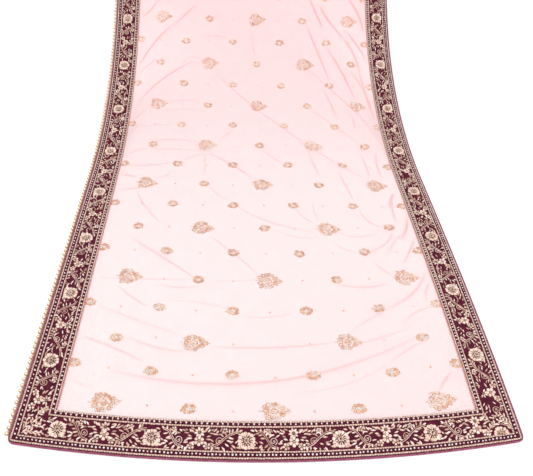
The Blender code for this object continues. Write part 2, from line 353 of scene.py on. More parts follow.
def net_points():
    """Points of the flat net: an even grid, and closer rows that follow each pinched crease."""
    columns = np.linspace(-NET_EDGE, NET_EDGE, round(2 * NET_EDGE / GRID_STEP) + 1)
    lines = np.linspace(PIPING_WIDTH, CUT_LENGTH - PIPING_WIDTH, round(CUT_LENGTH / GRID_STEP) + 1)
    grid = np.stack(np.meshgrid(columns, lines), axis=-1).reshape(-1, 2)
    clear = np.ones(len(grid), bool)
    rows = []
    for row in PINCHES:
        off, middle = on_crease(grid[:, 0], grid[:, 1], row)
        clear &= (np.abs(off) > BESIDE_CREASE[-1] + GRID_STEP / 3) | (middle <= 0.0)
        start, end = np.array(row[0:2]), np.array(row[2:4])
        run = end - start
        length = np.hypot(*run)
        left = np.array((-run[1], run[0])) / length
        share = np.linspace(0.02, 0.98, round(length / CREASE_STEP))[:, None, None]
        middle = 4 * share * (1 - share)
        off = row[4] * middle + BESIDE_CREASE[None, :, None] * (0.25 + 0.75 * middle)
        rows.append((start + run * share + left * off).reshape(-1, 2))
    followed = np.vstack(rows)
    followed = followed[np.abs(followed[:, 0]) < CUT_HALF - BORDER + UNDER_VELVET]
    cells = np.unique(np.floor(followed / LEAST_APART).astype(int), axis=0, return_index=True)[1]
    return np.vstack((grid[clear], followed[np.sort(cells)]))


def node_group(name, inputs, outputs):
    """Empty shader group with its named sockets, each given as (name, kind, value)."""
    group = bpy.data.node_groups.new(name, "ShaderNodeTree")
    for socket_name, kind, value in inputs:
        socket = group.interface.new_socket(socket_name, in_out="INPUT", socket_type=kind)
        if value is not None:
            socket.default_value = value
    for socket_name, kind in outputs:
        group.interface.new_socket(socket_name, in_out="OUTPUT", socket_type=kind)
    return group, group.nodes.new("NodeGroupInput"), group.nodes.new("NodeGroupOutput")


def fed(tree, made, links):
    """Feeds a node's inputs: a socket is linked, and any other value is set."""
    for key, value in links.items():
        if isinstance(value, bpy.types.NodeSocket):
            tree.links.new(value, made.inputs[key])
        else:
            made.inputs[key].default_value = value
    return made


def node(tree, kind, links=None, **settings):
    """Adds a node. settings are its own properties, and links feed its inputs."""
    made = tree.nodes.new("ShaderNode" + kind)
    for key, value in settings.items():
        setattr(made, key, value)
    return fed(tree, made, links or {})


def times(tree, first, second, **settings):
    return node(tree, "Math", {0: first, 1: second}, operation="MULTIPLY", **settings).outputs[0]


def added(tree, value, weight, base, **settings):
    """A value, times its weight, on top of a base."""
    links = {0: value, 1: weight, 2: base}
    return node(tree, "Math", links, operation="MULTIPLY_ADD", **settings).outputs[0]


def ranged(tree, value, low, high, start=0.0, end=1.0):
    """A value's range from start to end, carried over to one from low to high."""
    links = {"Value": value, "From Min": start, "From Max": end, "To Min": low, "To Max": high}
    return node(tree, "MapRange", links).outputs["Result"]


def grain_group():
    """Fine uneven grain of a fibre surface: a value about the middle, at a real size in metres."""
    group, given, result = node_group(
        "fibre_grain",
        (("Place", "NodeSocketVector", None), ("Grain Size", "NodeSocketFloat", 0.001),
         ("Contrast", "NodeSocketFloat", 1.0)),
        (("Grain", "NodeSocketFloat"),))
    scale = node(group, "Math", {0: 1.0, 1: given.outputs["Grain Size"]}, operation="DIVIDE")
    noise = node(group, "TexNoise", {"Vector": given.outputs["Place"], "Scale": scale.outputs[0],
                                     "Detail": 3.0, "Roughness": 0.6})
    centred = node(group, "Math", {0: noise.outputs["Fac"], 1: 0.5}, operation="SUBTRACT")
    spread = added(group, centred.outputs[0], given.outputs["Contrast"], 0.5, use_clamp=True)
    group.links.new(spread, result.inputs["Grain"])
    return group


FIBRE_GRAIN = grain_group()


def finish_of(name, **constants):
    """Material with one Principled shader, whose constants are set on its own sockets."""
    material = bpy.data.materials.new(name)
    material.use_nodes = True
    shader = material.node_tree.nodes["Principled BSDF"]
    for key, value in constants.items():
        shader.inputs[key.replace("_", " ")].default_value = value
    return material, material.node_tree, shader


def placed_group(tree, group, links):
    """Puts a shader group in a material with its own values."""
    made = tree.nodes.new("ShaderNodeGroup")
    made.node_tree = group
    return fed(tree, made, links)


def grain(tree, place, size, contrast):
    """Uneven grain of a real size over a place, from 0 to 1."""
    links = {"Place": place, "Grain Size": size, "Contrast": contrast}
    return placed_group(tree, FIBRE_GRAIN, links).outputs["Grain"]


def blended(tree, share, first, second):
    """Colour between two colours or colour sockets."""
    return node(tree, "Mix", {0: share, 6: first, 7: second}, data_type="RGBA").outputs[2]


def flat_place(tree):
    """A point's place on the flat cut, or on the form it belongs to, in metres."""
    return node(tree, "UVMap", uv_map="flat").outputs["UV"]


def own_value(tree, name):
    """One of the values that a piece carries point by point."""
    return node(tree, "Attribute", attribute_name=name).outputs["Fac"]


def coloured(tree, shader, share, first, second):
    """Colours the shader between two colours."""
    tree.links.new(blended(tree, share, first, second), shader.inputs["Base Color"])


def raised(tree, shader, height, distance, strength):
    """Raises the fine relief of a surface."""
    bump = node(tree, "Bump", {"Height": height, "Distance": distance, "Strength": strength})
    tree.links.new(bump.outputs["Normal"], shader.inputs["Normal"])


def net_finish():
    pale, deep = (0.93, 0.800, 0.800, 1.0), (0.86, 0.45, 0.47, 1.0)
    material, tree, shader = finish_of("pink_net", Roughness=0.72, Sheen_Weight=0.25, Sheen_Roughness=0.45,
                                       Sheen_Tint=(1.0, 0.88, 0.90, 1.0), Specular_IOR_Level=0.25)
    flat = flat_place(tree)
    pinch = own_value(tree, "pinch")
    fuller = own_value(tree, "fuller")
    cells = node(tree, "TexVoronoi", {"Vector": flat, "Scale": 1 / NET_HOLE, "Randomness": 0.18},
                 feature="DISTANCE_TO_EDGE")
    thread = ranged(tree, cells.outputs["Distance"], 1.0, 0.0, 0.05, 0.22)
    slub = grain(tree, flat, 45 * MM, 1.2)
    folded = added(tree, fuller, FULLER_DEEPER, pinch)
    depth = added(tree, slub, SLUB_DEEPER, folded, use_clamp=True)
    coloured(tree, shader, depth, pale, deep)
    woven = ranged(tree, thread, HOLES_COVER, THREADS_COVER)
    layered = added(tree, fuller, FULLER_COVERS, woven)
    cover = added(tree, pinch, PINCHED_COVERS, layered, use_clamp=True)
    tree.links.new(cover, shader.inputs["Alpha"])
    raised(tree, shader, thread, 0.15 * MM, 0.5)
    return material


def new_piece(name, points, faces, material, uv, values=None):
    """Mesh from laid points, with its place on the flat cut as UV and its own values by name."""
    mesh = bpy.data.meshes.new(name)
    mesh.from_pydata(points.tolist(), [], faces)
    corners = np.empty(len(mesh.loops), np.int32)
    mesh.loops.foreach_get("vertex_index", corners)
    layer = mesh.uv_layers.new(name="flat")
    layer.data.foreach_set("uv", uv[corners].astype(np.float32).ravel())
    for key, value in (values or {}).items():
        attribute = mesh.attributes.new(key, "FLOAT", "POINT")
        attribute.data.foreach_set("value", np.asarray(value, np.float32))
    mesh.shade_smooth()
    mesh.materials.append(material)
    piece = bpy.data.objects.new(name, mesh)
    bpy.context.scene.collection.objects.link(piece)
    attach(piece, "root")
    return piece


def in_rows(first, second):
    """Pairs of two sets of values, one row after another."""
    return np.stack(np.broadcast_arrays(first, second), axis=-1).reshape(-1, 2)


def net_panel():
    cut = delaunay_2d_cdt([Vector(point) for point in net_points()], [], [], 0, 1e-6)
    flat = np.array([tuple(point) for point in cut[0]])
    faces = [list(face) for face in cut[2]]
    u, v = flat[:, 0], flat[:, 1]
    points = laid(u, v, net_top(u, v))
    panel = new_piece("net_panel", points, faces, net_finish(), flat,
                      {"pinch": pinched(u, v), "fuller": fullness(u, v)})
    wall = panel.modifiers.new("thread", "SOLIDIFY")
    wall.thickness = NET_THREAD
    wall.offset = -1.0
    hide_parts("net_ground")
    return panel


net = net_panel()

# ---- Velvet strips -----------------------------------------------------------------------------------
# Four strips of wine velvet with a short pile, mitred at the corners and sewn over the net's edge. Each
# is a thin shell whose face swells a little between the rows of stitching that hold it down.

VELVET_UNDERSIDE = 1.5 * MM
VELVET_FACE = 3.0 * MM
VELVET_SWELL = 0.5 * MM
STITCHED_AT = (0.0, 1.5, 11.5, 34.7, 58.3, 66.9, 68.7)      # in from the piping, in mm
SWELL_OVER = 5 * MM          # from a row of stitching to the full swell
SWELL_WAVES = 0.3            # share of the swell that comes and goes along the strip
VELVET_COLUMNS = 19
VELVET_STEP = 7.5 * MM
SIDES = ("near", "right", "far", "left")


def edge_place(side, inset, share):
    """Flat (u, v) at a share of a mitred strip's length, going round from the near left corner."""
    across = (2 * share - 1) * (CUT_HALF - inset)
    along = inset + share * (CUT_LENGTH - 2 * inset)
    here = np.zeros(np.broadcast(inset, share).shape)
    if side == "near":
        return across + here, inset + here
    if side == "right":
        return CUT_HALF - inset + here, along + here
    if side == "far":
        return -across + here, CUT_LENGTH - inset + here
    return inset - CUT_HALF + here, CUT_LENGTH - along + here


def side_length(side):
    return 2 * CUT_HALF if side in ("near", "far") else CUT_LENGTH


def tube_faces(stations, around):
    """Closed skin of a strip: quads along it and across both ends, where points j and -1 - j are paired."""
    first = np.arange(stations - 1)[:, None] * around
    ring = np.arange(around)
    after = (ring + 1) % around
    skin = np.stack((first + ring, first + around + ring, first + around + after, first + after), axis=-1)
    half = np.arange(around // 2 - 1)
    start = np.stack((half, half + 1, around - 2 - half, around - 1 - half), axis=-1)
    end = (stations - 1) * around + start[:, ::-1]
    return np.vstack((skin.reshape(-1, 4), start, end))


def soft_waves(a, b, seed):
    """Slow uneven rise and fall of hand-sewn cloth, about -1 to 1, at places in metres."""
    draw = np.random.default_rng(seed)
    total = 0.0
    for _wave in range(6):
        pace_a, pace_b, start = draw.uniform(15, 90), draw.uniform(15, 90), draw.uniform(0, 2 * math.pi)
        total = total + np.sin(a * pace_a * draw.choice((-1, 1)) + b * pace_b + start)
    return total / 3


def velvet_finish():
    dark, light = (0.036, 0.0042, 0.0105, 1.0), (0.125, 0.0140, 0.036, 1.0)
    material, tree, shader = finish_of("wine_velvet", Roughness=0.88, Sheen_Weight=0.15,
                                       Sheen_Roughness=0.35, Sheen_Tint=(0.85, 0.22, 0.34, 1.0),
                                       Specular_IOR_Level=0.10)
    flat = flat_place(tree)
    nap = grain(tree, flat, 12 * MM, 1.6)
    pile = grain(tree, flat, 0.9 * MM, 1.4)
    coloured(tree, shader, times(tree, times(tree, nap, pile), 2.0, use_clamp=True), dark, light)
    raised(tree, shader, pile, 0.4 * MM, 0.6)
    return material


def velvet_strip(side, material):
    columns = np.linspace(PIPING_WIDTH, BORDER, VELVET_COLUMNS)
    from_stitching = np.min(np.abs((columns - PIPING_WIDTH)[:, None] - np.array(STITCHED_AT) * MM), axis=1)
    swell = VELVET_SWELL * eased(from_stitching / SWELL_OVER)
    insets = np.concatenate((columns, columns[::-1]))
    share = np.linspace(0, 1, round(side_length(side) / VELVET_STEP) + 1)[:, None]
    u, v = edge_place(side, insets, share)
    lift = np.full(u.shape, VELVET_UNDERSIDE)
    waves = 1 - SWELL_WAVES + SWELL_WAVES * soft_waves(u, v, 11)[:, :VELVET_COLUMNS]
    lift[:, :VELVET_COLUMNS] = VELVET_FACE + swell * waves
    points = laid(u, v, lift).reshape(-1, 3)
    faces = tube_faces(len(share), len(insets)).tolist()
    strip = new_piece("velvet_" + side, points, faces, material, in_rows(u, v))
    strip.data.set_sharp_from_angle(angle=math.radians(60))
    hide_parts("border_" + side)
    return strip


wine_velvet = velvet_finish()
velvet = {side: velvet_strip(side, wine_velvet) for side in SIDES}

# ---- Satin piping ------------------------------------------------------------------------------------
# A bias strip of mauve satin, folded over the raw edges of net and velvet and sewn down beside the
# outermost gold line. It is a round roll with small slanting pulls, low where it is sewn, and its colour
# carries painted shade in the pulls and along the sewn side, and painted light on the roll.

PIPING_RISE = 3.0 * MM
PIPING_ROLL = 5.2 * MM       # width that shows; the outermost gold line covers the rest of the strip
SEWN_DOWN = 0.65             # share of its height that the roll loses at the sewn side
PULL_STEP = 21 * MM
PULL_SLANT = 1.6
PULLS = 0.07                 # share of its rise that the pulls take out of the roll
PIPING_STEP = 4.5 * MM


def satin_finish():
    lit, satin_fold_shade = (0.440, 0.118, 0.200, 1.0), (0.115, 0.022, 0.044, 1.0)
    material, tree, shader = finish_of("mauve_satin", Specular_IOR_Level=0.14, Anisotropic=0.4)
    flat = flat_place(tree)
    pull_shading = grain(tree, flat, 6 * MM, 1.5)
    weave = grain(tree, flat, 0.4 * MM, 1.0)
    # Painted light and shade: the lit colour on the roll, the fold shade in its pulls and along the sewn
    # side.
    coloured(tree, shader, times(tree, pull_shading, own_value(tree, "seam_lit_share")), satin_fold_shade, lit)
    tree.links.new(ranged(tree, weave, 0.42, 0.60), shader.inputs["Roughness"])
    raised(tree, shader, weave, 0.1 * MM, 0.4)
    return material


def round_section(around):
    """Across and up of a round section, over the top from its low inset and back underneath."""
    turn = math.pi - (np.arange(around) + 0.5) * 2 * math.pi / around
    return np.cos(turn), np.sin(turn)


def satin_piping(side, material):
    across, up = round_section(12)
    sewn = eased((across + 0.1) / 0.9)
    up = np.where(up > 0, up * (1 - SEWN_DOWN * sewn), up)
    count = round(side_length(side) / PIPING_STEP) + 1
    share = np.linspace(0, 1, count)[:, None]
    distance = share * side_length(side)
    pull = np.sin(distance * 2 * math.pi / PULL_STEP + across * PULL_SLANT) * soft_waves(distance, 0.3, 23)
    insets = PIPING_WIDTH - 0.2 * MM - PIPING_ROLL / 2 * (1 - across)
    lift = PIPING_RISE * (0.5 + up * (0.5 + PULLS * pull - PULLS))
    u, v = edge_place(side, insets, share)
    points = laid(u, v, lift).reshape(-1, 3)
    faces = tube_faces(count, len(up)).tolist()
    # The last value falls to 0 at the sewn side, where the colour takes painted shade.
    roll = new_piece("satin_piping_" + side, points, faces, material, in_rows(u, v),
                     {"seam_lit_share": np.tile(1 - sewn, count)})
    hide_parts("piping_" + side)


mauve_satin = satin_finish()
for side in SIDES:
    satin_piping(side, mauve_satin)

# ---- Gold lines --------------------------------------------------------------------------------------
# Two pairs of gold thread lines run round the velvet, one along the piping and one along the net. Each is
# a bundle of crinkled gold thread, laid on the face and couched down stitch by stitch.

# Middle of the line in from the outer edge, its width and its rise, in mm
GOLD_LINES = (
    (7.4, 3.0, 1.7),
    (18.4, 2.9, 1.5),
    (64.3, 3.1, 1.5),
    (73.3, 2.8, 1.6),
)
COUCHING_STEP = 2.4 * MM
LUMPS = 0.30                 # how much the couching pulls a line in and out
WANDER = 0.45                # and how far aside, in mm
ONE_WAVE = 0.314             # scale at which the wave texture has one ridge a metre


def ribs_group():
    """Threads lying side by side: ridges at a real spacing, slightly uneven."""
    group, given, result = node_group(
        "thread_ribs",
        (("Place", "NodeSocketVector", None), ("Spacing", "NodeSocketFloat", 0.001),
         ("Unevenness", "NodeSocketFloat", 1.0)),
        (("Ridge", "NodeSocketFloat"),))
    scale = node(group, "Math", {0: ONE_WAVE, 1: given.outputs["Spacing"]}, operation="DIVIDE")
    wave = node(group, "TexWave", {"Vector": given.outputs["Place"], "Scale": scale.outputs[0],
                                   "Distortion": given.outputs["Unevenness"], "Detail": 1.0},
                wave_type="BANDS", bands_direction="X")
    group.links.new(wave.outputs["Fac"], result.inputs["Ridge"])
    return group


THREAD_RIBS = ribs_group()


def thread_ridge(tree, place, spacing, unevenness):
    links = {"Place": place, "Spacing": spacing, "Unevenness": unevenness}
    return placed_group(tree, THREAD_RIBS, links).outputs["Ridge"]


def zari_finish(name, hollow_shade, shade, body, shine, metal, spacing=0.9 * MM):
    """Gold thread work in three tones, a shade, its body colour and a shine, chosen by the stitch's own
    tint:
    a tone that differs at random from stitch to stitch, with painted shade and light in it. The colour is
    darkened towards a hollow colour as painted shade in the grooves between its threads, in specks and in
    patches, and where a patch is light it is a painted glint. It is ribbed by its threads.
    """
    material, tree, shader = finish_of(name, Metallic=metal, Specular_IOR_Level=0.25)
    flat = flat_place(tree)
    tint = own_value(tree, "tint")
    ribs = thread_ridge(tree, flat, spacing, 0.8)
    fleck = grain(tree, flat, 1.6 * MM, 1.8)
    glint_and_shade_patch = grain(tree, flat, 5.2 * MM, 2.0)
    darker = blended(tree, ranged(tree, tint, 0.0, 1.0, 0.0, 0.5), shade, body)
    toned = blended(tree, ranged(tree, tint, 0.0, 1.0, 0.5, 1.0), darker, shine)
    # Painted shade in the grooves between the threads, in specks and in patches; where a patch is light it
    # is a painted glint.
    groove_shade = times(tree, ranged(tree, ribs, 0.74, 1.0), ranged(tree, fleck, 0.56, 1.36))
    depth = times(tree, groove_shade, ranged(tree, glint_and_shade_patch, 0.60, 1.50))
    coloured(tree, shader, depth, hollow_shade, toned)
    tree.links.new(ranged(tree, fleck, 0.30, 0.58), shader.inputs["Roughness"])
    raised(tree, shader, ribs, 0.25 * MM, 0.7)
    return material


def gold_lines(side, material):
    """All four lines of one side, as one piece: lumpy rolls whose couching pulls them in every few mm."""
    across, up = round_section(6)
    draw = np.random.default_rng(31 + SIDES.index(side))
    points, flats, faces, tints, offset = [], [], [], [], 0
    for middle, width, rise in GOLD_LINES:
        length = side_length(side) - 2 * middle * MM
        count = round(length / COUCHING_STEP) + 1
        share = np.linspace(0, 1, count)[:, None]
        turn = np.where(np.arange(count) % 2 == 0, 1, -1)[:, None]
        lumps = 1 + LUMPS * turn * draw.uniform(0.2, 1, (count, 1)) + draw.normal(0, 0.08, (count, 1))
        drift = WANDER * np.roll(turn, 1) * draw.uniform(0, 1, (count, 1))
        drift = (drift + draw.normal(0, 0.15, (count, 1))) * MM
        drift[[0, -1]] = 0.0
        inset = middle * MM + drift + across * width * MM / 2 * (0.85 + 0.15 * lumps)
        lift = VELVET_FACE + 0.05 * MM + np.maximum(up, -0.15) * rise * MM * lumps
        u, v = edge_place(side, inset, share)
        flats.append(in_rows(share * length, inset))
        points.append(laid(u, v, lift).reshape(-1, 3))
        faces.append(tube_faces(count, len(up)) + offset)
        # Painted light and shade: the tint is higher where the line swells on a lump and lower where the
        # couching pulls it in.
        tints.append(np.repeat(0.52 + 0.42 * turn[:, 0] * draw.uniform(0.5, 1.2, count), len(up)))
        offset += count * len(up)
    new_piece("gold_lines_" + side, np.vstack(points), np.vstack(faces).tolist(), material,
              np.vstack(flats), {"tint": np.concatenate(tints)})


champagne = zari_finish("champagne_zari", (0.11, 0.056, 0.040, 1.0), (0.29, 0.165, 0.122, 1.0),
                        (0.82, 0.535, 0.415, 1.0), (1.0, 0.90, 0.82, 1.0), 0.12)
for side in SIDES:
    gold_lines(side, champagne)

# ---- Pearl rows --------------------------------------------------------------------------------------
# A row of small white pearls is threaded down the middle of each pair of gold lines. In the inner row a
# gold bead sits on either side of each pearl, so that the three make a short bar across the channel.

# Row's middle in from the outer edge, pearl diameter and side bead diameter, in mm
PEARL_ROWS = (
    (13.0, 4.0, 0.0),
    (69.0, 4.0, 1.5),
)
PEARL_SIZES = (0.76, 1.06)   # smallest and largest share of that diameter
ROW_START = 2.0              # how far past its own corner a row starts, in mm
# Spacing of the outer and inner rows of each side, in mm: each was threaded by hand to its own measure
PEARL_SPACING = {"near": (7.2, 9.7), "right": (7.7, 8.0), "far": (7.2, 9.7), "left": (9.5, 10.0)}


def ball_form(segments, rings):
    """Unit ball standing on its lowest point: points, quads and triangles."""
    rise = np.linspace(-math.pi / 2, math.pi / 2, rings + 1)[1:-1]
    turn = np.arange(segments) * 2 * math.pi / segments
    reach = np.cos(rise)[:, None]
    ring = (reach * np.cos(turn), reach * np.sin(turn), np.sin(rise)[:, None])
    ring = np.stack(np.broadcast_arrays(*ring), axis=-1).reshape(-1, 3)
    points = np.vstack((ring, (0, 0, -1), (0, 0, 1))) / 2 + (0, 0, 0.5)
    this = np.arange(segments)
    after = (this + 1) % segments
    quads = [np.stack((this, after, after + segments, this + segments), axis=-1) + level * segments
             for level in range(rings - 2)]
    last = (rings - 2) * segments
    bottom = np.full(segments, last + segments)
    tris = np.vstack((np.stack((after, this, bottom), axis=-1),
                      np.stack((this + last, after + last, bottom + 1), axis=-1)))
    return points, np.vstack(quads), tris


def side_place(side, s, inset):
    """Flat (u, v) at a distance s along a side, measured on the cloth, and an inset from its outer edge."""
    if side == "near":
        return s - CUT_HALF, inset
    if side == "right":
        return CUT_HALF - inset, s
    if side == "far":
        return CUT_HALF - s, CUT_LENGTH - inset
    return inset - CUT_HALF, CUT_LENGTH - s


def on_side(side):
    """Where a form drawn on a side's own (s, inset) lies on the cut."""
    return lambda s, inset: side_place(side, s, inset)


def on_net(u, v):
    return u, v


def set_down(form, rows, to_cut, base=None, rim=0.2):
    """Copies a form to each row: s, t, turn, length, width, rise, lift and tint. base adds the cloth's
    lift. Towards the rim the tint falls to a share of itself, as painted shade round each form's foot,
    so that each stitch stands out."""
    points, quads, tris = form
    rows = np.asarray(rows, float)
    s, t, turn, length, width, rise, lift, tint = rows.T[:, :, None]
    forth, aside = points[:, 0] * length, points[:, 1] * width
    cos, sin = np.cos(turn), np.sin(turn)
    u, v = to_cut(s + forth * cos - aside * sin, t + forth * sin + aside * cos)
    height = lift + points[:, 2] * rise
    if base is not None:
        height = height + base(u, v)
    step = (np.arange(len(rows)) * len(points))[:, None, None]
    return {
        "points": laid(u, v, height).reshape(-1, 3),
        "uv": in_rows(forth + s, aside + t),
        # Painted shade: the tint falls from the crown to the rim.
        "tint": (tint * (rim + (1 - rim) * points[:, 2] ** 2)).reshape(-1),
        "quads": (quads + step).reshape(-1, 4),
        "tris": (tris + step).reshape(-1, 3),
    }


def sewn_piece(name, sets, material):
    """Joins sets of small forms into one piece."""
    offset, quads, tris = 0, [], []
    for one in sets:
        quads.append(one["quads"] + offset)
        tris.append(one["tris"] + offset)
        offset += len(one["points"])
    faces = np.vstack(quads).tolist() + np.vstack(tris).tolist()
    joined = {key: np.concatenate([one[key] for one in sets]) for key in ("points", "uv", "tint")}
    return new_piece(name, joined["points"], faces, material, joined["uv"], {"tint": joined["tint"]})


def pearl_finish(name, shaded, lit):
    material, tree, shader = finish_of(name, Roughness=0.22, Coat_Weight=0.5, Coat_Roughness=0.08,
                                       Specular_IOR_Level=0.6)
    coloured(tree, shader, grain(tree, flat_place(tree), 10 * MM, 1.5), shaded, lit)
    return material


BALL = ball_form(8, 4)
SMALL_BALL = ball_form(6, 3)
PEARL_SINK = 0.3 * MM


def ball_rows(s, inset, diameter, lift, tint):
    """One row for each ball, centred at (s, inset) and standing at lift."""
    s, inset, diameter, lift, tint = np.broadcast_arrays(s, inset, diameter, lift, tint)
    return np.stack((s, inset, np.zeros(s.shape), diameter, diameter, diameter, lift, tint), axis=-1)


def pearl_rows(side, white):
    draw = np.random.default_rng(47 + SIDES.index(side))
    pearls, beads = [], []
    for (middle, diameter, bead), spacing in zip(PEARL_ROWS, PEARL_SPACING[side]):
        start = (middle + ROW_START) * MM
        length = side_length(side) - 2 * start
        count = round(length / (spacing * MM))
        s = start + (np.arange(count) + 0.5) * length / count + draw.normal(0, 0.5, count) * MM
        inset = middle * MM + draw.normal(0, 0.3, count) * MM
        size = diameter * MM * draw.uniform(*PEARL_SIZES, count)
        lift = VELVET_FACE - PEARL_SINK
        pearls.append(ball_rows(s, inset, size, lift, 0.8))
        if bead:
            aside = (diameter + bead) / 2 * MM
            tint = draw.uniform(0.6, 1.2, count)
            for way in (-1, 1):
                beads.append(ball_rows(s, inset + way * aside, bead * MM, lift, tint))
    place = on_side(side)
    sewn_piece("pearls_" + side, [set_down(BALL, np.vstack(pearls), place)], white)
    side_beads = set_down(SMALL_BALL, np.vstack(beads), place)
    sewn_piece("pearl_row_beads_" + side, [side_beads], champagne)


white_pearl = pearl_finish("white_pearl", (0.60, 0.48, 0.44, 1.0), (0.97, 0.93, 0.90, 1.0))
for side in SIDES:
    pearl_rows(side, white_pearl)

# ---- Rose edging -------------------------------------------------------------------------------------
# A thin rose satin cord covers the velvet's inner raw edge on the two long sides. At the hems the
# innermost gold line is couched close along that edge, and there is no cord.

ROSE_WIDTH = 1.9 * MM
ROSE_RISE = 1.4 * MM
ROSE_STEP = 6 * MM
ROSE_MIDDLE = 2.0 * MM       # height of the cord's middle


def rose_finish():
    material, tree, shader = finish_of("rose_satin", Roughness=0.4, Sheen_Weight=0.3,
                                       Sheen_Tint=(1.0, 0.75, 0.78, 1.0))
    twist = thread_ridge(tree, flat_place(tree), 1.6 * MM, 0.3)
    # Painted shade in the twist's grooves, and lighter colour on its ridges.
    coloured(tree, shader, twist, (0.58, 0.12, 0.15, 1.0), (0.90, 0.34, 0.34, 1.0))
    raised(tree, shader, twist, 0.2 * MM, 0.6)
    return material


def rose_edging(side, material):
    across, up = round_section(6)
    count = round((CUT_LENGTH - 2 * BORDER) / ROSE_STEP) + 1
    share = np.linspace(0, 1, count)[:, None]
    inset = BORDER + 0.3 * MM + across * ROSE_WIDTH / 2
    lift = ROSE_MIDDLE + up * ROSE_RISE / 2 + 0.1 * MM * soft_waves(share * CUT_LENGTH, 0.0, 59)
    u, v = edge_place(side, inset, share)
    new_piece("rose_edging_" + side, laid(u, v, lift).reshape(-1, 3), tube_faces(count, len(up)).tolist(),
              material, in_rows(share * CUT_LENGTH, inset))


rose_satin = rose_finish()
for side in ("left", "right"):
    rose_edging(side, rose_satin)

# ---- Rosettes ----------------------------------------------------------------------------------------
# Round padded flowers in gold thread stand along the velvet at even distances: a ring of broad petals,
# two smaller rings on top of it, and a heart of two knots.

FIELD_MIDDLE = 41.2 * MM      # the velvet field's middle, in from the outer edge
FIRST_ROSETTE = {"near": 86.3 * MM, "right": 194.1 * MM, "far": 86.3 * MM, "left": 231.1 * MM}
ROSETTE_STEP = {"near": 172.8 * MM, "right": 175.7 * MM, "far": 172.8 * MM, "left": 174.2 * MM}
ROSETTE_COUNT = {"near": 5, "right": 13, "far": 5, "left": 13}
ROSETTE_ASIDE = -2.6 * MM
# Petals of its three rings: root's distance from the middle, length, width and rise, in mm
OUTER_PETAL = (8.4, 8.4, 7.3, 1.7)
MIDDLE_PETAL = (5.6, 5.0, 3.2, 1.4)
INNER_PETAL = (1.6, 4.6, 3.0, 1.4)


def petal_outline(count, spread, point):
    """Outline from its root at (0, 0) round to its tip at (1, 0). spread widens the tip, and point
    sharpens both ends."""
    turn = math.pi + np.arange(count) * 2 * math.pi / count
    along = 0.5 + 0.5 * np.cos(turn)
    across = 0.5 * np.sin(turn) * np.abs(np.sin(turn)) ** point * (1 + spread * (along - 0.5))
    return np.column_stack((along, across))


def domed_form(outline, steps, crown):
    """Closed low form over an outline. steps are (share of the outline, height), and crown is the
    middle's height."""
    count = len(outline)
    middle = outline.mean(axis=0)
    rings = [np.column_stack((outline, np.zeros(count)))]
    for share, height in steps:
        rings.append(np.column_stack((middle + (outline - middle) * share, np.full(count, height))))
    points = np.vstack((*rings, (*middle, crown)))
    this = np.arange(count)
    after = (this + 1) % count
    quads = [np.stack((this, after, after + count, this + count), axis=-1) + level * count
             for level in range(len(steps))]
    last = len(steps) * count
    fan = np.arange(1, count - 1)
    tris = np.vstack((np.stack((this + last, after + last, np.full(count, last + count)), axis=-1),
                      np.stack((np.zeros(count - 2, int), fan + 1, fan), axis=-1)))
    return points, np.vstack(quads) if quads else np.empty((0, 4), int), tris


BROAD_PETAL = domed_form(petal_outline(9, 0.75, 0.0), ((0.84, 0.75), (0.52, 1.0)), 0.72)
NARROW_PETAL = domed_form(petal_outline(8, -0.1, 0.30), ((0.66, 0.85),), 1.0)
KNOT = domed_form(petal_outline(6, 0.0, 0.0) - (0.5, 0.0), ((0.72, 0.75),), 1.0)


def ring_of(s, t, count, petal, lift, tints, draw, start=0.0, sweep=2 * math.pi):
    """Rows of petals round a point, each turned outwards, with the small differences of hand work. A petal
    is its root's distance from the point, its length, width and rise, in mm."""
    inner, length, width, rise = np.array(petal) * MM
    turn = start + np.arange(count) * sweep / count + draw.normal(0, 0.04, count)
    size = draw.uniform(0.93, 1.07, count)
    return np.column_stack((
        s + inner * np.cos(turn), t + inner * np.sin(turn), turn, length * size, width * size,
        rise * draw.uniform(0.9, 1.1, count), np.full(count, lift), draw.uniform(*tints, count)))


def knots_at(s, t, diameter, rise, lift, tint):
    s, t, diameter, rise, lift, tint = np.broadcast_arrays(s, t, diameter, rise, lift, tint)
    return np.column_stack((s, t, np.zeros(s.shape), diameter, diameter, rise, lift, tint))


def rosette(s, t, draw):
    """Petal rows and knot rows of one rosette."""
    face = VELVET_FACE + 0.2 * MM
    outer = ring_of(s, t, 13, OUTER_PETAL, face, (0.65, 1.05), draw, draw.uniform(0, 1))
    middle = ring_of(s, t, 12, MIDDLE_PETAL, face + 1.0 * MM, (0.20, 1.0), draw, 0.3)
    inner = ring_of(s, t, 8, INNER_PETAL, face + 1.6 * MM, (0.3, 1.0), draw)
    heart = knots_at((s, s + 1.2 * MM), (t, t - 0.9 * MM), 2.0 * MM, 1.2 * MM, face + 2.2 * MM, (0.0, 0.9))
    return np.vstack((outer, middle, inner)), heart


def rosettes(side):
    draw = np.random.default_rng(61 + SIDES.index(side))
    petals, hearts = [], []
    for index in range(ROSETTE_COUNT[side]):
        s = FIRST_ROSETTE[side] + index * ROSETTE_STEP[side]
        ring, heart = rosette(s, FIELD_MIDDLE + ROSETTE_ASIDE, draw)
        petals.append(ring)
        hearts.append(heart)
    place = on_side(side)
    sets = [set_down(BROAD_PETAL, np.vstack(petals), place), set_down(KNOT, np.vstack(hearts), place)]
    sewn_piece("rosettes_" + side, sets, champagne)


for side in SIDES:
    rosettes(side)

# ---- Flowering vine ----------------------------------------------------------------------------------
# Between two rosettes the same spray is worked each time: a star over a six-petalled flower in the middle,
# and on either side of it a doubled stem with leaves, a scroll, and small flowers. All is gold thread.

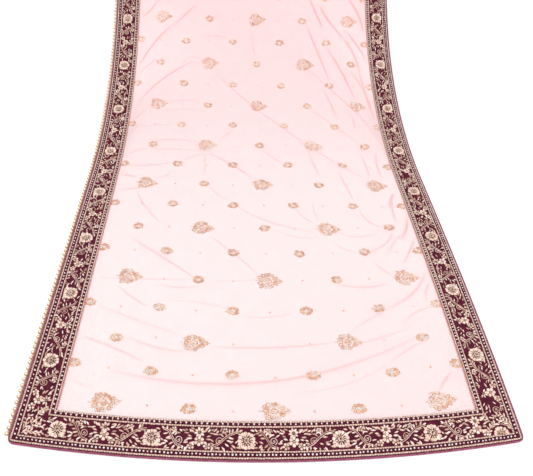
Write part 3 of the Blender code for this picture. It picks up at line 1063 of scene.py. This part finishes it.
# Leaves of half a spray, mirrored to the other half: root along and across, turn in degrees, length, width
SPRAY_LEAVES = (
    (8.5, 10.1, 35, 11.7, 4.3),
    (9.5, 15.8, 10, 11.0, 3.8),
    (15.5, 11.0, 60, 9.5, 3.6),
    (17.5, 10.1, 5, 11.0, 3.6),
    (20.5, 13.4, 40, 8.8, 3.4),
    (23.5, 8.6, -12, 11.7, 3.6),
    (25.0, 12.0, 25, 10.2, 3.6),
    (31.0, 10.6, 50, 9.5, 3.6),
    (33.0, 8.6, 0, 10.2, 3.4),
    (38.0, 12.0, 65, 9.5, 3.6),
    (40.0, 10.1, 15, 9.5, 3.4),
    (7.0, -6.2, -30, 11.7, 4.3),
    (11.0, -1.0, 5, 11.7, 4.1),
    (13.5, 2.9, 20, 11.0, 3.8),
    (19.5, -1.4, -35, 10.2, 3.6),
    (19.5, -7.2, -15, 10.2, 3.6),
    (20.5, -13.0, -50, 9.5, 3.6),
    (24.5, -14.9, -105, 9.5, 4.1),
    (30.0, -13.0, -95, 9.5, 3.6),
    (31.5, -16.8, 0, 9.5, 3.4),
    (35.0, -13.9, -70, 9.5, 3.6),
    (41.5, -12.5, -60, 11.0, 3.8),
    (46.5, -8.6, -35, 11.0, 3.8),
    (45.5, -15.8, -80, 8.1, 3.4),
    (49.5, -2.9, -20, 11.7, 3.8),
    (52.0, 2.4, -5, 11.0, 3.8),
    (51.0, 5.3, 115, 10.2, 3.6),
    (45.5, 2.9, 130, 9.5, 3.4),
    (54.5, 8.6, 100, 11.0, 3.8),
    (56.5, 8.2, 0, 11.0, 3.6),
    (60.5, 12.0, 85, 10.2, 3.8),
    (62.5, 10.6, -15, 9.5, 3.4),
    (66.0, 13.4, 60, 8.8, 3.6),
    (71.5, 13.9, 25, 10.2, 4.1),
    (70.0, 10.1, -40, 8.1, 3.1),
    (56.0, -8.2, 20, 10.2, 3.6),
    (58.0, -10.1, -25, 11.7, 4.3),
    (57.0, -13.9, -55, 9.5, 3.8),
    (64.5, -7.7, 35, 8.1, 3.1),
    (65.5, -14.4, -10, 11.7, 4.3),
    (72.0, -16.8, 15, 10.2, 3.6),
    (52.0, -18.2, -15, 9.5, 3.4),
)
# Doubled stem of half a spray, from beside the rosette down to the field's outer side, in mm
STEM_POINTS = {
    -1: ((66.0, 15.5), (57.0, 12.0), (49.0, 0.0), (41.0, -11.5), (28.0, -17.5)),
    1: ((76.0, 13.5), (63.0, 11.0), (49.0, 3.0), (36.0, -8.5), (22.0, -15.5)),
}
STEM_GAP = 2.9
STEM_WIDTH = 1.5 * MM
SCROLL_WIDTH = 1.6 * MM
CORD_RISE = 1.0 * MM
# Star and six-petalled flower in the middle of a spray: how far past the field's middle, number of petals,
# and their root's distance from the middle, length, width and rise, in mm
STAR_ASIDE, STAR_LEAVES, STAR_LEAF = 10.8 * MM, 8, (2.0, 9.0, 5.2, 1.6)
BLOOM_ASIDE, BLOOM_PETALS, BLOOM_PETAL = -5.0 * MM, 6, (2.0, 8.0, 6.6, 1.6)
# The long sides are worked a little more sparsely: share of leaves left out, and their width
LEAVES_LEFT_OUT = {"near": 0.03, "right": 0.22, "far": 0.03, "left": 0.18}
LEAF_FULLNESS = {"near": 1.10, "right": 0.80, "far": 1.10, "left": 0.84}
# Small round flowers of half a spray: middle along and across, root's distance from it, petal length and
# width, in mm
SPRAY_FLOWERS = ((14.5, -13.8, 1.6, 5.4, 5.0), (75.0, -10.2, 1.2, 3.8, 3.6), (47.0, 15.0, 1.2, 4.4, 4.0))
FLOWER_RISE = 1.4
SCROLL_MIDDLE = (37.5, -3.5)
SCROLL_RADII = (7.4, 2.2)
SCROLL_TURNS = 1.35
SCROLL_FROM = math.radians(-110)
VINE_FACE = VELVET_FACE + 0.15 * MM
VINE_FROM = 64 * MM           # from a corner of the stole to the first leaf of the sprays
# Differences of hand work from leaf to leaf: turn in radians, and place along and across in mm
LEAF_TURNS, LEAF_ALONG, LEAF_ACROSS = 0.16, 0.55, 0.45


def curve_through(points, count):
    """Smooth curve through a few points, evenly read."""
    points = np.asarray(points, float)
    padded = np.vstack((2 * points[0] - points[1], points, 2 * points[-1] - points[-2]))
    place = np.linspace(0, len(points) - 1 - 1e-9, count)
    start = place.astype(int)
    x = (place - start)[:, None]
    a, b, c, d = (padded[start + k] for k in range(4))
    bend, twist = 2 * a - 5 * b + 4 * c - d, 3 * b - a - 3 * c + d
    return 0.5 * (2 * b + (c - a) * x + bend * x ** 2 + twist * x ** 3)


def heading(path):
    """Unit steps forth along a path."""
    forth = np.gradient(path, axis=0)
    return forth / np.hypot(forth[:, 0], forth[:, 1])[:, None]


def laid_cord(path, width, tint, to_cut):
    """A couched cord along a path in metres on a side's (s, inset)."""
    forth = heading(path)
    across, up = round_section(5)
    s = path[:, 0, None] - forth[:, 1, None] * across * width / 2
    t = path[:, 1, None] + forth[:, 0, None] * across * width / 2
    u, v = to_cut(s, t)
    height = VINE_FACE + np.maximum(up, -0.2) * CORD_RISE
    distance = np.concatenate(((0,), np.cumsum(np.hypot(*np.diff(path, axis=0).T))))[:, None]
    return {
        "points": laid(u, v, height).reshape(-1, 3),
        "uv": in_rows(distance, across * width / 2),
        "tint": np.full(s.size, tint),
        "quads": tube_faces(len(path), len(up)),
        "tris": np.empty((0, 3), int),
    }


def offset_path(path, gap):
    forth = heading(path)
    return path + np.column_stack((-forth[:, 1], forth[:, 0])) * gap


def scroll_path():
    turn = SCROLL_FROM - np.linspace(0, SCROLL_TURNS * 2 * math.pi, 22)
    radius = np.linspace(*SCROLL_RADII, len(turn))
    return np.column_stack((SCROLL_MIDDLE[0] + radius * np.cos(turn),
                            SCROLL_MIDDLE[1] + radius * np.sin(turn)))


def spray(s, draw):
    """Petals, leaves, knots and cord paths of one spray about s on a side's (s, inset)."""
    t = FIELD_MIDDLE
    petals, leaves, knots, cords = [], [], [], []
    face = VINE_FACE
    star_at, bloom_at = t + STAR_ASIDE, t + BLOOM_ASIDE
    leaves.append(ring_of(s, star_at, STAR_LEAVES, STAR_LEAF, face, (0.60, 1.15), draw, 0.2))
    petals.append(ring_of(s, bloom_at, BLOOM_PETALS, BLOOM_PETAL, face, (0.55, 1.15), draw, 0.5))
    knots.append(knots_at((s, s), (star_at, bloom_at), 4.6 * MM, 2.0 * MM, face, (0.1, 0.5)))
    table = np.array(SPRAY_LEAVES)
    for way in (-1, 1):
        def half(x):
            return s + way * x * MM
        for x, y, inner, length, width in SPRAY_FLOWERS:
            petal = (inner, length, width, FLOWER_RISE)
            turn = draw.uniform(0, 1)
            petals.append(ring_of(half(x), t + y * MM, 5, petal, face, (0.5, 1.15), draw, turn))
            heart = (inner + 1.2) * MM
            knots.append(knots_at(half(x), t + y * MM, heart, 1.7 * MM, face, draw.uniform(0.1, 1.0)))
        count = len(table)
        turn = np.radians(table[:, 2]) + draw.normal(0, LEAF_TURNS, count)
        turn = turn if way > 0 else math.pi - turn
        leaves.append(np.column_stack((
            half(table[:, 0]) + draw.normal(0, LEAF_ALONG, count) * MM,
            t + (table[:, 1] + draw.normal(0, LEAF_ACROSS, count)) * MM,
            turn,
            table[:, 3] * MM * draw.uniform(0.80, 1.12, count),
            table[:, 4] * MM * draw.uniform(0.85, 1.15, count),
            draw.uniform(1.0, 1.7, count) * MM,
            np.full(count, face),
            draw.uniform(0.20, 1.35, count))))
        stem = curve_through(STEM_POINTS[way], 18)
        for gap in (-STEM_GAP / 2, STEM_GAP / 2):
            path = offset_path(stem, gap)
            cords.append((np.column_stack((half(path[:, 0]), t + path[:, 1] * MM))[::way], STEM_WIDTH))
        path = scroll_path()
        cords.append((np.column_stack((half(path[:, 0]), t + path[:, 1] * MM))[::way], SCROLL_WIDTH))
        x, y = SCROLL_MIDDLE
        knots.append(knots_at(half(x), t + y * MM, 2.8 * MM, 1.6 * MM, face, 1.0))
    return petals, leaves, knots, cords


# Leafy sprigs of the two corners of a hem: points of the stem, in along the hem and in from its edge, and
# the number of leaf pairs. A half rosette stands under the sprigs of the last corner.
FIRST_CORNER = (
    (((23.0, 23.0), (33.0, 30.0), (44.0, 42.0), (59.0, 55.0)), 6),
    (((23.5, 31.0), (28.0, 40.0), (26.0, 50.0), (31.0, 61.0)), 5),
    (((31.0, 24.0), (41.0, 28.5), (51.0, 26.0), (62.0, 30.0)), 5),
    (((36.0, 41.0), (40.0, 50.0), (47.0, 58.0)), 3),
    (((47.0, 37.0), (54.0, 41.0), (61.0, 40.0)), 3),
    (((42.0, 61.0), (49.0, 68.0), (57.0, 76.0)), 4),
)
LAST_CORNER = (
    (((-20.5, 27.0), (-22.5, 38.0), (-31.0, 46.0), (-43.0, 47.0)), 6),
    (((-67.0, 23.0), (-62.5, 33.0), (-54.0, 41.0), (-45.0, 43.0)), 5),
    (((-22.0, 48.0), (-30.0, 57.0), (-42.0, 58.0), (-53.0, 52.0)), 5),
    (((-56.0, 47.0), (-62.0, 53.0), (-64.0, 61.0)), 3),
)
SPRIG_LEAF = (9.4, 4.0)       # length and width in mm
SPRIG_TAPER = (1.08, 0.80)    # share of that length at the stem's foot and at its tip
SPRIG_SPREAD = math.radians(40)
HALF_ROSETTE = (-41.8, 20.5)
ARCH = 20.0                   # radius of the cord arched over the half rosette
ARCH_ENDS = (math.radians(46), math.radians(138))
# Its three rings: number of petals, petal, lift in mm, tints, and where the ring starts and how far it runs
HALF_ROSETTE_RINGS = (
    (8, (7.4, 8.6, 6.4, 1.7), 0.0, (0.60, 0.95), 0.05, 3.45),
    (7, (4.2, 4.6, 3.0, 1.5), 0.9, (0.1, 0.7), 0.1, 3.5),
    (4, (0.8, 4.2, 3.0, 1.5), 1.3, (0.2, 0.8), 0.3, 3.2),
)


def sprig(points, pairs, start, draw):
    """Leaf rows and the cord path of a stem with leaves leaning out on both sides of it."""
    stem = curve_through(points, 4 * pairs + 2)
    forth = np.gradient(stem, axis=0)
    at = np.arange(1, 4 * pairs, 2)
    way = np.where(np.arange(len(at)) % 2 == 0, 1, -1)
    spread = SPRIG_SPREAD + draw.normal(0, LEAF_TURNS, len(at))
    turn = np.arctan2(forth[at, 1], forth[at, 0]) + way * spread
    taper = np.linspace(*SPRIG_TAPER, len(at))
    length, width = SPRIG_LEAF
    leaves = np.column_stack((
        start + stem[at, 0] * MM, stem[at, 1] * MM, turn,
        length * MM * taper * draw.uniform(0.85, 1.12, len(at)),
        width * MM * draw.uniform(0.85, 1.15, len(at)),
        draw.uniform(1.0, 1.6, len(at)) * MM,
        np.full(len(at), VINE_FACE),
        draw.uniform(0.3, 1.15, len(at))))
    path = stem[::2] * MM
    path[:, 0] += start
    return leaves, path


def corner_work(length, draw):
    """Petals, leaves, knots and cord paths of both corners of a hem of this length."""
    leaves, cords = [], []
    for sprigs, start in ((FIRST_CORNER, 0.0), (LAST_CORNER, length)):
        for points, pairs in sprigs:
            rows, path = sprig(points, pairs, start, draw)
            leaves.append(rows)
            cords.append((path, STEM_WIDTH))
    s, t = length + HALF_ROSETTE[0] * MM, HALF_ROSETTE[1] * MM
    turn = np.linspace(*ARCH_ENDS, 12)
    arch = np.column_stack((s + ARCH * MM * np.cos(turn), t + ARCH * MM * np.sin(turn)))
    cords.append((arch, STEM_WIDTH))
    petals = [ring_of(s, t, count, petal, VINE_FACE + lift * MM, tints, draw, start, sweep)
              for count, petal, lift, tints, start, sweep in HALF_ROSETTE_RINGS]
    knots = [knots_at(s, t + 1.5 * MM, 2.4 * MM, 1.4 * MM, VINE_FACE + 1.6 * MM, 0.2)]
    return petals, leaves, knots, cords


def kept(rows, low, high):
    """Rows of forms whose middle lies between two distances along the side."""
    middle = rows[:, 0] + rows[:, 3] / 2 * np.cos(rows[:, 2])
    return rows[(middle > low) & (middle < high)]


def flowering_vine(side):
    draw = np.random.default_rng(83 + SIDES.index(side))
    place = on_side(side)
    low, high = VINE_FROM, side_length(side) - VINE_FROM
    petals, leaves, knots, cords = [], [], [], []
    for index in range(ROSETTE_COUNT[side] + 1):
        made = spray(FIRST_ROSETTE[side] + (index - 0.5) * ROSETTE_STEP[side], draw)
        petals += made[0]
        leaves += made[1]
        knots += made[2]
        for path, width in made[3]:
            path = path[(path[:, 0] > low) & (path[:, 0] < high)]
            if len(path) > 3:
                cords.append((path, width))
    rows = [kept(np.vstack(made), low, high) for made in (petals, leaves, knots)]
    rows[1] = rows[1][draw.uniform(size=len(rows[1])) > LEAVES_LEFT_OUT[side]]
    rows[1][:, 4] *= LEAF_FULLNESS[side]
    if side in ("near", "far"):
        made = corner_work(side_length(side), draw)
        rows = [np.vstack((kept_rows, *more)) for kept_rows, more in zip(rows, made[:3])]
        cords += made[3]
    forms = (BROAD_PETAL, NARROW_PETAL, KNOT)
    sets = [set_down(form, form_rows, place) for form, form_rows in zip(forms, rows)]
    sets += [laid_cord(path, width, draw.uniform(0.35, 0.8), place) for path, width in cords]
    sewn_piece("flowering_vine_" + side, sets, champagne)


for side in SIDES:
    flowering_vine(side)

# ---- Bead edging -------------------------------------------------------------------------------------
# Along the left side runs an edging of gold cups, each holding a cream pearl, threaded outside the piping
# with a gold bead between each pair and two seed beads against the piping.

EDGING_START = 12 * MM
EDGE_CUP = 8.4 * MM
CUP_RISE = 2.4 * MM
EDGE_STEP = 12.6 * MM
EDGE_PEARL = 4.8 * MM
SMALL_BEAD = 3.2 * MM
SEED_BEAD = 2.2 * MM
SEED_ASIDE = 3.2 * MM
BUTTON_RISE = 0.58           # the pearls are button pearls: their height, as a share of their width
EDGE_REACH = 0.9 * MM        # how far the cups reach in over the cloth's edge
CUP = domed_form(petal_outline(10, 0.0, 0.0) - (0.5, 0.0), ((1.0, 0.5), (0.88, 1.0), (0.66, 0.9)), 0.45)


def bead_finish():
    material, tree, shader = finish_of("gold_bead", Metallic=0.3, Roughness=0.32, Coat_Weight=0.3)
    painted_lustre = grain(tree, flat_place(tree), 4 * MM, 1.6)
    # Painted sheen: the gold runs between darker and lighter patches.
    coloured(tree, shader, painted_lustre, (0.28, 0.150, 0.055, 1.0), (0.66, 0.42, 0.19, 1.0))
    return material


def bead_edging():
    draw = np.random.default_rng(97)
    length = CUT_LENGTH - 2 * EDGING_START
    count = round(length / EDGE_STEP)
    s = EDGING_START + (np.arange(count) + 0.5) * length / count
    inset = EDGE_REACH - EDGE_CUP / 2 + draw.normal(0, 0.3, count) * MM
    s = s + draw.normal(0, 0.5, count) * MM
    cups = knots_at(s, inset, EDGE_CUP, CUP_RISE, 0.0, draw.uniform(0.3, 1, count))
    middles = (s[1:] + s[:-1]) / 2
    small = ball_rows(middles, EDGE_REACH - SMALL_BEAD / 2, SMALL_BEAD, 0.2 * MM, 0.5)
    beside = np.concatenate([middles + way * SEED_ASIDE for way in (-1, 1)])
    seeds = ball_rows(beside, EDGE_REACH - SEED_BEAD / 2, SEED_BEAD, 0.3 * MM, 0.5)
    place = on_side("left")
    sets = [set_down(form, rows, place) for form, rows in ((CUP, cups), (BALL, small), (SMALL_BALL, seeds))]
    edging = sewn_piece("edge_beads_left", sets, bead_finish())
    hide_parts("bead_edging")
    pearls = ball_rows(s, inset, EDGE_PEARL, 0.9 * MM, 0.8)
    pearls[:, 5] *= BUTTON_RISE
    cream_pearl = pearl_finish("cream_pearl", (0.90, 0.76, 0.55, 1.0), (1.0, 0.94, 0.80, 1.0))
    sewn_piece("edge_pearls_left", [set_down(BALL, pearls, place)], cream_pearl)


bead_edging()

# ---- Scattered flowers on the net --------------------------------------------------------------------
# Rows of worked flowers are sprinkled over the net: large ones with a ring of scallops and a pointed spray
# of leaves, small ones with a ring of pointed petals between them, and single sequins. The flowers are
# worked stitch by stitch in peach gold thread.

COLUMN_STEP = 162.6 * MM
COLUMNS_ASIDE = 9.5 * MM
FIRST_ROWS = (102.9 * MM, 247.7 * MM)
ROW_STEP = 165.6 * MM
ROW_COUNT = 15
ROW_SAG = 7.4 * MM
SAG_OVER = 0.6
EDGE_COLUMN = 390 * MM        # middles of the flowers caught at the velvet's edge
STITCH = domed_form(petal_outline(6, 0.0, 0.25), (), 1.0)
STITCH_RISE = 1.1 * MM
STITCH_SINK = -0.05 * MM
SEQUIN = 4.2 * MM
# The first rows get painted light added to their tint, and past them the flowers are longer along the net
NEAR_ROWS = 0.4              # over this distance from the first row
NEAR_PAINTED_LIGHT = 0.16          # added to the tint
FLOWERS_LONGER = 0.17


def row_places():
    """Distances of the full rows along the net."""
    inner = FIRST_ROWS[1] + np.arange(ROW_COUNT - 2) * ROW_STEP
    return np.concatenate(((FIRST_ROWS[0],), inner, (CUT_LENGTH - FIRST_ROWS[0],)))


def stitched(path, count, width, tint, draw):
    """Stitch rows set end to end along a path in mm: x, y, turn, length, width and tint."""
    path = np.asarray(path, float)
    reach = np.concatenate(((0,), np.cumsum(np.hypot(*np.diff(path, axis=0).T))))
    ends = np.linspace(0, reach[-1], count + 1)
    points = np.column_stack([np.interp(ends, reach, path[:, k]) for k in (0, 1)])
    forth = np.diff(points, axis=0)
    length = np.hypot(*forth.T)
    return np.column_stack((
        points[:-1], np.arctan2(forth[:, 1], forth[:, 0]) + draw.normal(0, 0.22, count),
        length * draw.uniform(0.95, 1.2, count), width * draw.uniform(0.8, 1.2, count),
        draw.uniform(*tint, count)))


def oval(across, along):
    """Closed oval round the middle, as a path in mm."""
    turn = np.linspace(0, 2 * math.pi, 33)
    return np.column_stack((across * np.cos(turn), along * np.sin(turn)))


def petal_path(x, y, turn, length, width, point=0.0):
    """Closed outline of a petal as a path in mm, from its root round its tip."""
    outline = petal_outline(24, 0.5, point)
    outline = np.vstack((outline, outline[:1])) * (length, width)
    cos, sin = math.cos(turn), math.sin(turn)
    return np.column_stack((x + outline[:, 0] * cos - outline[:, 1] * sin,
                            y + outline[:, 0] * sin + outline[:, 1] * cos))


# Rings of stitches in a large flower's middle: half across and half along, number, width and tints
LARGE_RINGS = ((7.2, 5.9, 11, 3.3, (0.0, 0.7)), (3.4, 2.4, 5, 3.0, (0.0, 1.4)))
SPOKES = (90, 180, 270)      # directions in degrees of the single stitches outside those rings
SPOKE_ENDS = ((6.5, 6.5), (12.5, 10.5))
# Scallops of a large flower: direction from its middle in degrees, and length in mm
SCALLOPS = ((27, 5.5), (54, 7.5), (82, 8.5), (108, 9.5), (132, 12.0), (156, 12.0), (180, 10.0),
            (204, 12.0), (228, 12.0), (252, 9.5), (278, 8.5), (306, 7.5), (333, 5.5))
SCALLOP_ROOTS = (12.0, 10.4)
SCALLOP_WIDTH = 6.6
RING_KNOTS = 9               # loose knots between the middle and the scallops
KNOTS_AWAY = (9.4, 12.4)
# Leaves of its tip: direction, root along and across, length and width in mm
TIP_LEAVES = ((0, 15.0, 0.0, 16.0, 9.0), (34, 13.5, 4.2, 9.5, 6.4), (-34, 13.5, -4.2, 9.5, 6.4))
# Its straight lines of stitches, through the tip and behind: ends, number, width and tints
LARGE_LINES = ((((12.0, 0.0), (34.5, 0.0)), 4, 3.0, (0.1, 0.8)),
               (((-23.5, 0.0), (-30.5, 0.8)), 2, 2.8, (0.5, 1.0)))


def large_flower(draw):
    """Stitches of a large flower in mm: its leafy tip points along +x."""
    rows = [stitched(oval(across, along), count, width, tints, draw)
            for across, along, count, width, tints in LARGE_RINGS]
    for degrees in SPOKES:
        angle = math.radians(degrees)
        spoke = np.array(SPOKE_ENDS) * (math.cos(angle), math.sin(angle))
        rows.append(stitched(spoke, 1, 3.4, (0.2, 0.9), draw))
    angle = draw.uniform(0, 2 * math.pi, RING_KNOTS)
    away = draw.uniform(*KNOTS_AWAY, RING_KNOTS)
    rows.append(np.column_stack((
        away * np.cos(angle), 0.85 * away * np.sin(angle), angle, draw.uniform(2.6, 3.8, RING_KNOTS),
        draw.uniform(2.2, 3.4, RING_KNOTS), draw.choice((0.1, 0.6, 1.3), RING_KNOTS))))
    for degrees, length in SCALLOPS:
        angle = math.radians(degrees + draw.normal(0, 2.5))
        length = length * draw.uniform(0.78, 1.22)
        x, y = SCALLOP_ROOTS[0] * math.cos(angle), SCALLOP_ROOTS[1] * math.sin(angle)
        tint = draw.choice((0.0, 0.2, 0.5, 0.8))
        scallop = petal_path(x, y, angle, length, SCALLOP_WIDTH)
        rows.append(stitched(scallop, 8, 2.5, (tint, tint + 0.3), draw))
        middle = np.array((x + length / 2 * math.cos(angle), y + length / 2 * math.sin(angle)))
        tint = draw.choice(((0.0, 0.1), (1.2, 1.4)))
        rows.append(stitched((middle * 0.90, middle * 1.10), 1, 3.6, tint, draw))
    for degrees, root, side, length, width in TIP_LEAVES:
        leaf = petal_path(root, side, math.radians(degrees), length, width, 0.4)
        tint = draw.uniform(0.10, 0.80)
        rows.append(stitched(leaf, 7, 3.0, (tint, tint + 0.3), draw))
    for ends, count, width, tints in LARGE_LINES:
        rows.append(stitched(ends, count, width, tints, draw))
    return np.vstack(rows)


# Pointed petals of a small flower: direction from its middle in degrees, and length in mm
POINTED_PETALS = ((-8, 8.5), (24, 8.0), (55, 7.1), (90, 6.6), (125, 7.1), (156, 8.0), (188, 8.5),
                  (222, 5.6), (256, 4.4), (290, 4.4), (322, 5.6))
POINTED_ROOTS = (6.1, 4.3)
POINTED_WIDTH = 5.0


def small_flower(draw):
    """Stitches of a small flower in mm."""
    rows = [stitched(oval(4.0, 2.6), 6, 2.2, (0.7, 1.4), draw)]
    rows.append(stitched(((-1.6, 0.0), (1.6, 0.0)), 1, 3.0, (1.2, 1.4), draw))
    for degrees, length in POINTED_PETALS:
        angle = math.radians(degrees + draw.normal(0, 3.0))
        length = length * draw.uniform(0.85, 1.15)
        x, y = POINTED_ROOTS[0] * math.cos(angle), POINTED_ROOTS[1] * math.sin(angle)
        tint = draw.choice((0.0, 0.1, 0.4, 0.7))
        petal = petal_path(x, y, angle, length, POINTED_WIDTH, 0.3)
        rows.append(stitched(petal, 4, 2.8, (tint, tint + 0.3), draw))
    return np.vstack(rows)


def on_the_net(stitches, u, v, draw):
    """Rows of one flower's stitches, set on the net at (u, v) with the small turn of hand work."""
    turn = draw.normal(0, 0.06)
    grow = draw.uniform(0.96, 1.05)
    # Painted light: in the first rows the stitches' tint is raised.
    up_the_net = eased((v - FIRST_ROWS[0]) / NEAR_ROWS)
    longer = 1 + FLOWERS_LONGER * up_the_net
    x, y = stitches[:, 0] * grow * MM, stitches[:, 1] * grow * longer * MM
    count = len(stitches)
    return np.column_stack((
        u + x * math.cos(turn) - y * math.sin(turn), v + x * math.sin(turn) + y * math.cos(turn),
        stitches[:, 2] + turn, stitches[:, 3] * grow * MM, stitches[:, 4] * grow * MM,
        STITCH_RISE * draw.uniform(0.8, 1.15, count), np.full(count, STITCH_SINK),
        stitches[:, 5] + NEAR_PAINTED_LIGHT * (1 - up_the_net)))


def flower_places():
    """Places of the large flowers, the small flowers and the sequins on the flat net."""
    large, small, sequins = [], [], []
    rows = row_places()
    for index, v in enumerate(rows):
        large_columns = (-2, 0, 2) if index % 2 == 0 else (-1, 1)
        for column in range(-2, 3):
            if column in large_columns:
                large.append((column, v))
            elif (index, column) != (1, 0):
                small.append((column, v))
        sequins += [(column, v) for column in (-1.5, -0.5, 0.5, 1.5)]
    for v in (rows[1:] + rows[:-1]) / 2:
        small += [(column, v) for column in (-2.5, -1.5, -0.5, 0.5, 1.5, 2.5)]
        sequins += [(column, v) for column in range(-2, 3)]
    return large, small, sequins


def sagged(column, v):
    """Place of a column in a row: near the hem, a row's middle hangs nearer to it."""
    near_hem = max(0.0, 1 - (v - FIRST_ROWS[0]) / SAG_OVER)
    across = min(max(column * COLUMN_STEP + COLUMNS_ASIDE, -EDGE_COLUMN), EDGE_COLUMN)
    return across, v - ROW_SAG * (1 - (column / 2) ** 2) * near_hem


def clear_of_velvet(rows):
    """Stitches whose middle lies on the open net."""
    u = rows[:, 0] + rows[:, 3] / 2 * np.cos(rows[:, 2])
    v = rows[:, 1] + rows[:, 3] / 2 * np.sin(rows[:, 2])
    edge = BORDER + 1.5 * MM
    return rows[(np.abs(u) < CUT_HALF - edge) & (v > edge) & (v < CUT_LENGTH - edge)]


def scattered_flowers():
    draw = np.random.default_rng(113)
    peach = zari_finish("peach_gold_thread", (0.62, 0.23, 0.10, 1.0), (0.66, 0.26, 0.12, 1.0),
                        (1.0, 0.60, 0.35, 1.0), (1.0, 0.95, 0.84, 1.0), 0.0, 1.1 * MM)
    large, small, sequins = flower_places()
    made = []
    kinds = (("large_flowers", large, large_flower), ("small_flowers", small, small_flower))
    for name, places, flower in kinds:
        rows = [on_the_net(flower(draw), *sagged(column, v + draw.normal(0, 1.2) * MM), draw)
                for column, v in places]
        stitches = set_down(STITCH, clear_of_velvet(np.vstack(rows)), on_net, net_top, 0.8)
        made.append(sewn_piece(name, [stitches], peach))
    dots = np.array([sagged(column, v) for column, v in sequins])
    dots = dots + draw.normal(0, 2.0, dots.shape) * MM
    tint = draw.uniform(0.3, 1, len(dots))
    rows = knots_at(dots[:, 0], dots[:, 1], SEQUIN, 1.0 * MM, STITCH_SINK, tint)
    made.append(sewn_piece("net_sequins", [set_down(KNOT, rows, on_net, net_top)], peach))
    return made


flower_pieces = scattered_flowers()

# ---- Surface, lights and camera ----------------------------------------------------------------------
# The stole lies on a plain white surface in soft studio light. The camera looks down along it from beyond
# the near hem.

SURFACE_SIZE = 16.0
WORLD_LIGHT = 1.02
# Place, size and power of each soft light: both face the middle of the stole
KEY_LIGHT = ((-2.2, 1.6, 2.6), 1.6, 36.0)
FILL_LIGHT = ((2.4, -2.0, 3.0), 2.5, 60.0)
FOCAL_PIXELS = 518.8
FRAME_WIDTH = 533
SENSOR_WIDTH = 36.0
CAMERA_DOWN = math.radians(47.16)
CAMERA_ASIDE = math.radians(3.02)
CAMERA_ROLL = math.radians(2.80)
CAMERA_FROM_HEM = (-0.0446, -0.332, 0.9478)


def plain_surface():
    bpy.ops.mesh.primitive_plane_add(size=SURFACE_SIZE)
    surface = bpy.context.object
    surface.name = "surface"
    material, tree, shader = finish_of("white_surface", Roughness=0.9, Specular_IOR_Level=0.1)
    paper = grain(tree, node(tree, "TexCoord").outputs["Object"], 0.5, 1.0)
    coloured(tree, shader, paper, (0.93, 0.93, 0.93, 1.0), (0.95, 0.95, 0.95, 1.0))
    surface.data.materials.append(material)


def soft_light(name, place, size, power):
    lamp = bpy.data.lights.new(name, "AREA")
    lamp.shape = "SQUARE"
    lamp.size = size
    lamp.energy = power
    light = bpy.data.objects.new(name, lamp)
    light.location = place
    light.rotation_euler = (-Vector(place)).to_track_quat("-Z", "Y").to_euler()
    bpy.context.scene.collection.objects.link(light)


plain_surface()
world = bpy.data.worlds.new("studio")
world.use_nodes = True
background = world.node_tree.nodes["Background"]
background.inputs["Color"].default_value = (1.0, 1.0, 1.0, 1.0)
background.inputs["Strength"].default_value = WORLD_LIGHT
bpy.context.scene.world = world
soft_light("key_light", *KEY_LIGHT)
soft_light("fill_light", *FILL_LIGHT)
bpy.context.scene.view_settings.view_transform = "Standard"

camera_data = bpy.data.cameras.new("camera")
camera_data.sensor_width = SENSOR_WIDTH
camera_data.lens = SENSOR_WIDTH * FOCAL_PIXELS / FRAME_WIDTH
camera = bpy.data.objects.new("camera", camera_data)
turned = (Matrix.Rotation(-CAMERA_ASIDE, 4, "Z") @ Matrix.Rotation(math.pi / 2 - CAMERA_DOWN, 4, "X")
          @ Matrix.Rotation(CAMERA_ROLL, 4, "Z"))
across, along, up = CAMERA_FROM_HEM
camera.matrix_world = Matrix.Translation((across + SHIFT_ACROSS, along + SHIFT_ALONG, up)) @ turned
bpy.context.scene.collection.objects.link(camera)
bpy.context.scene.camera = camera
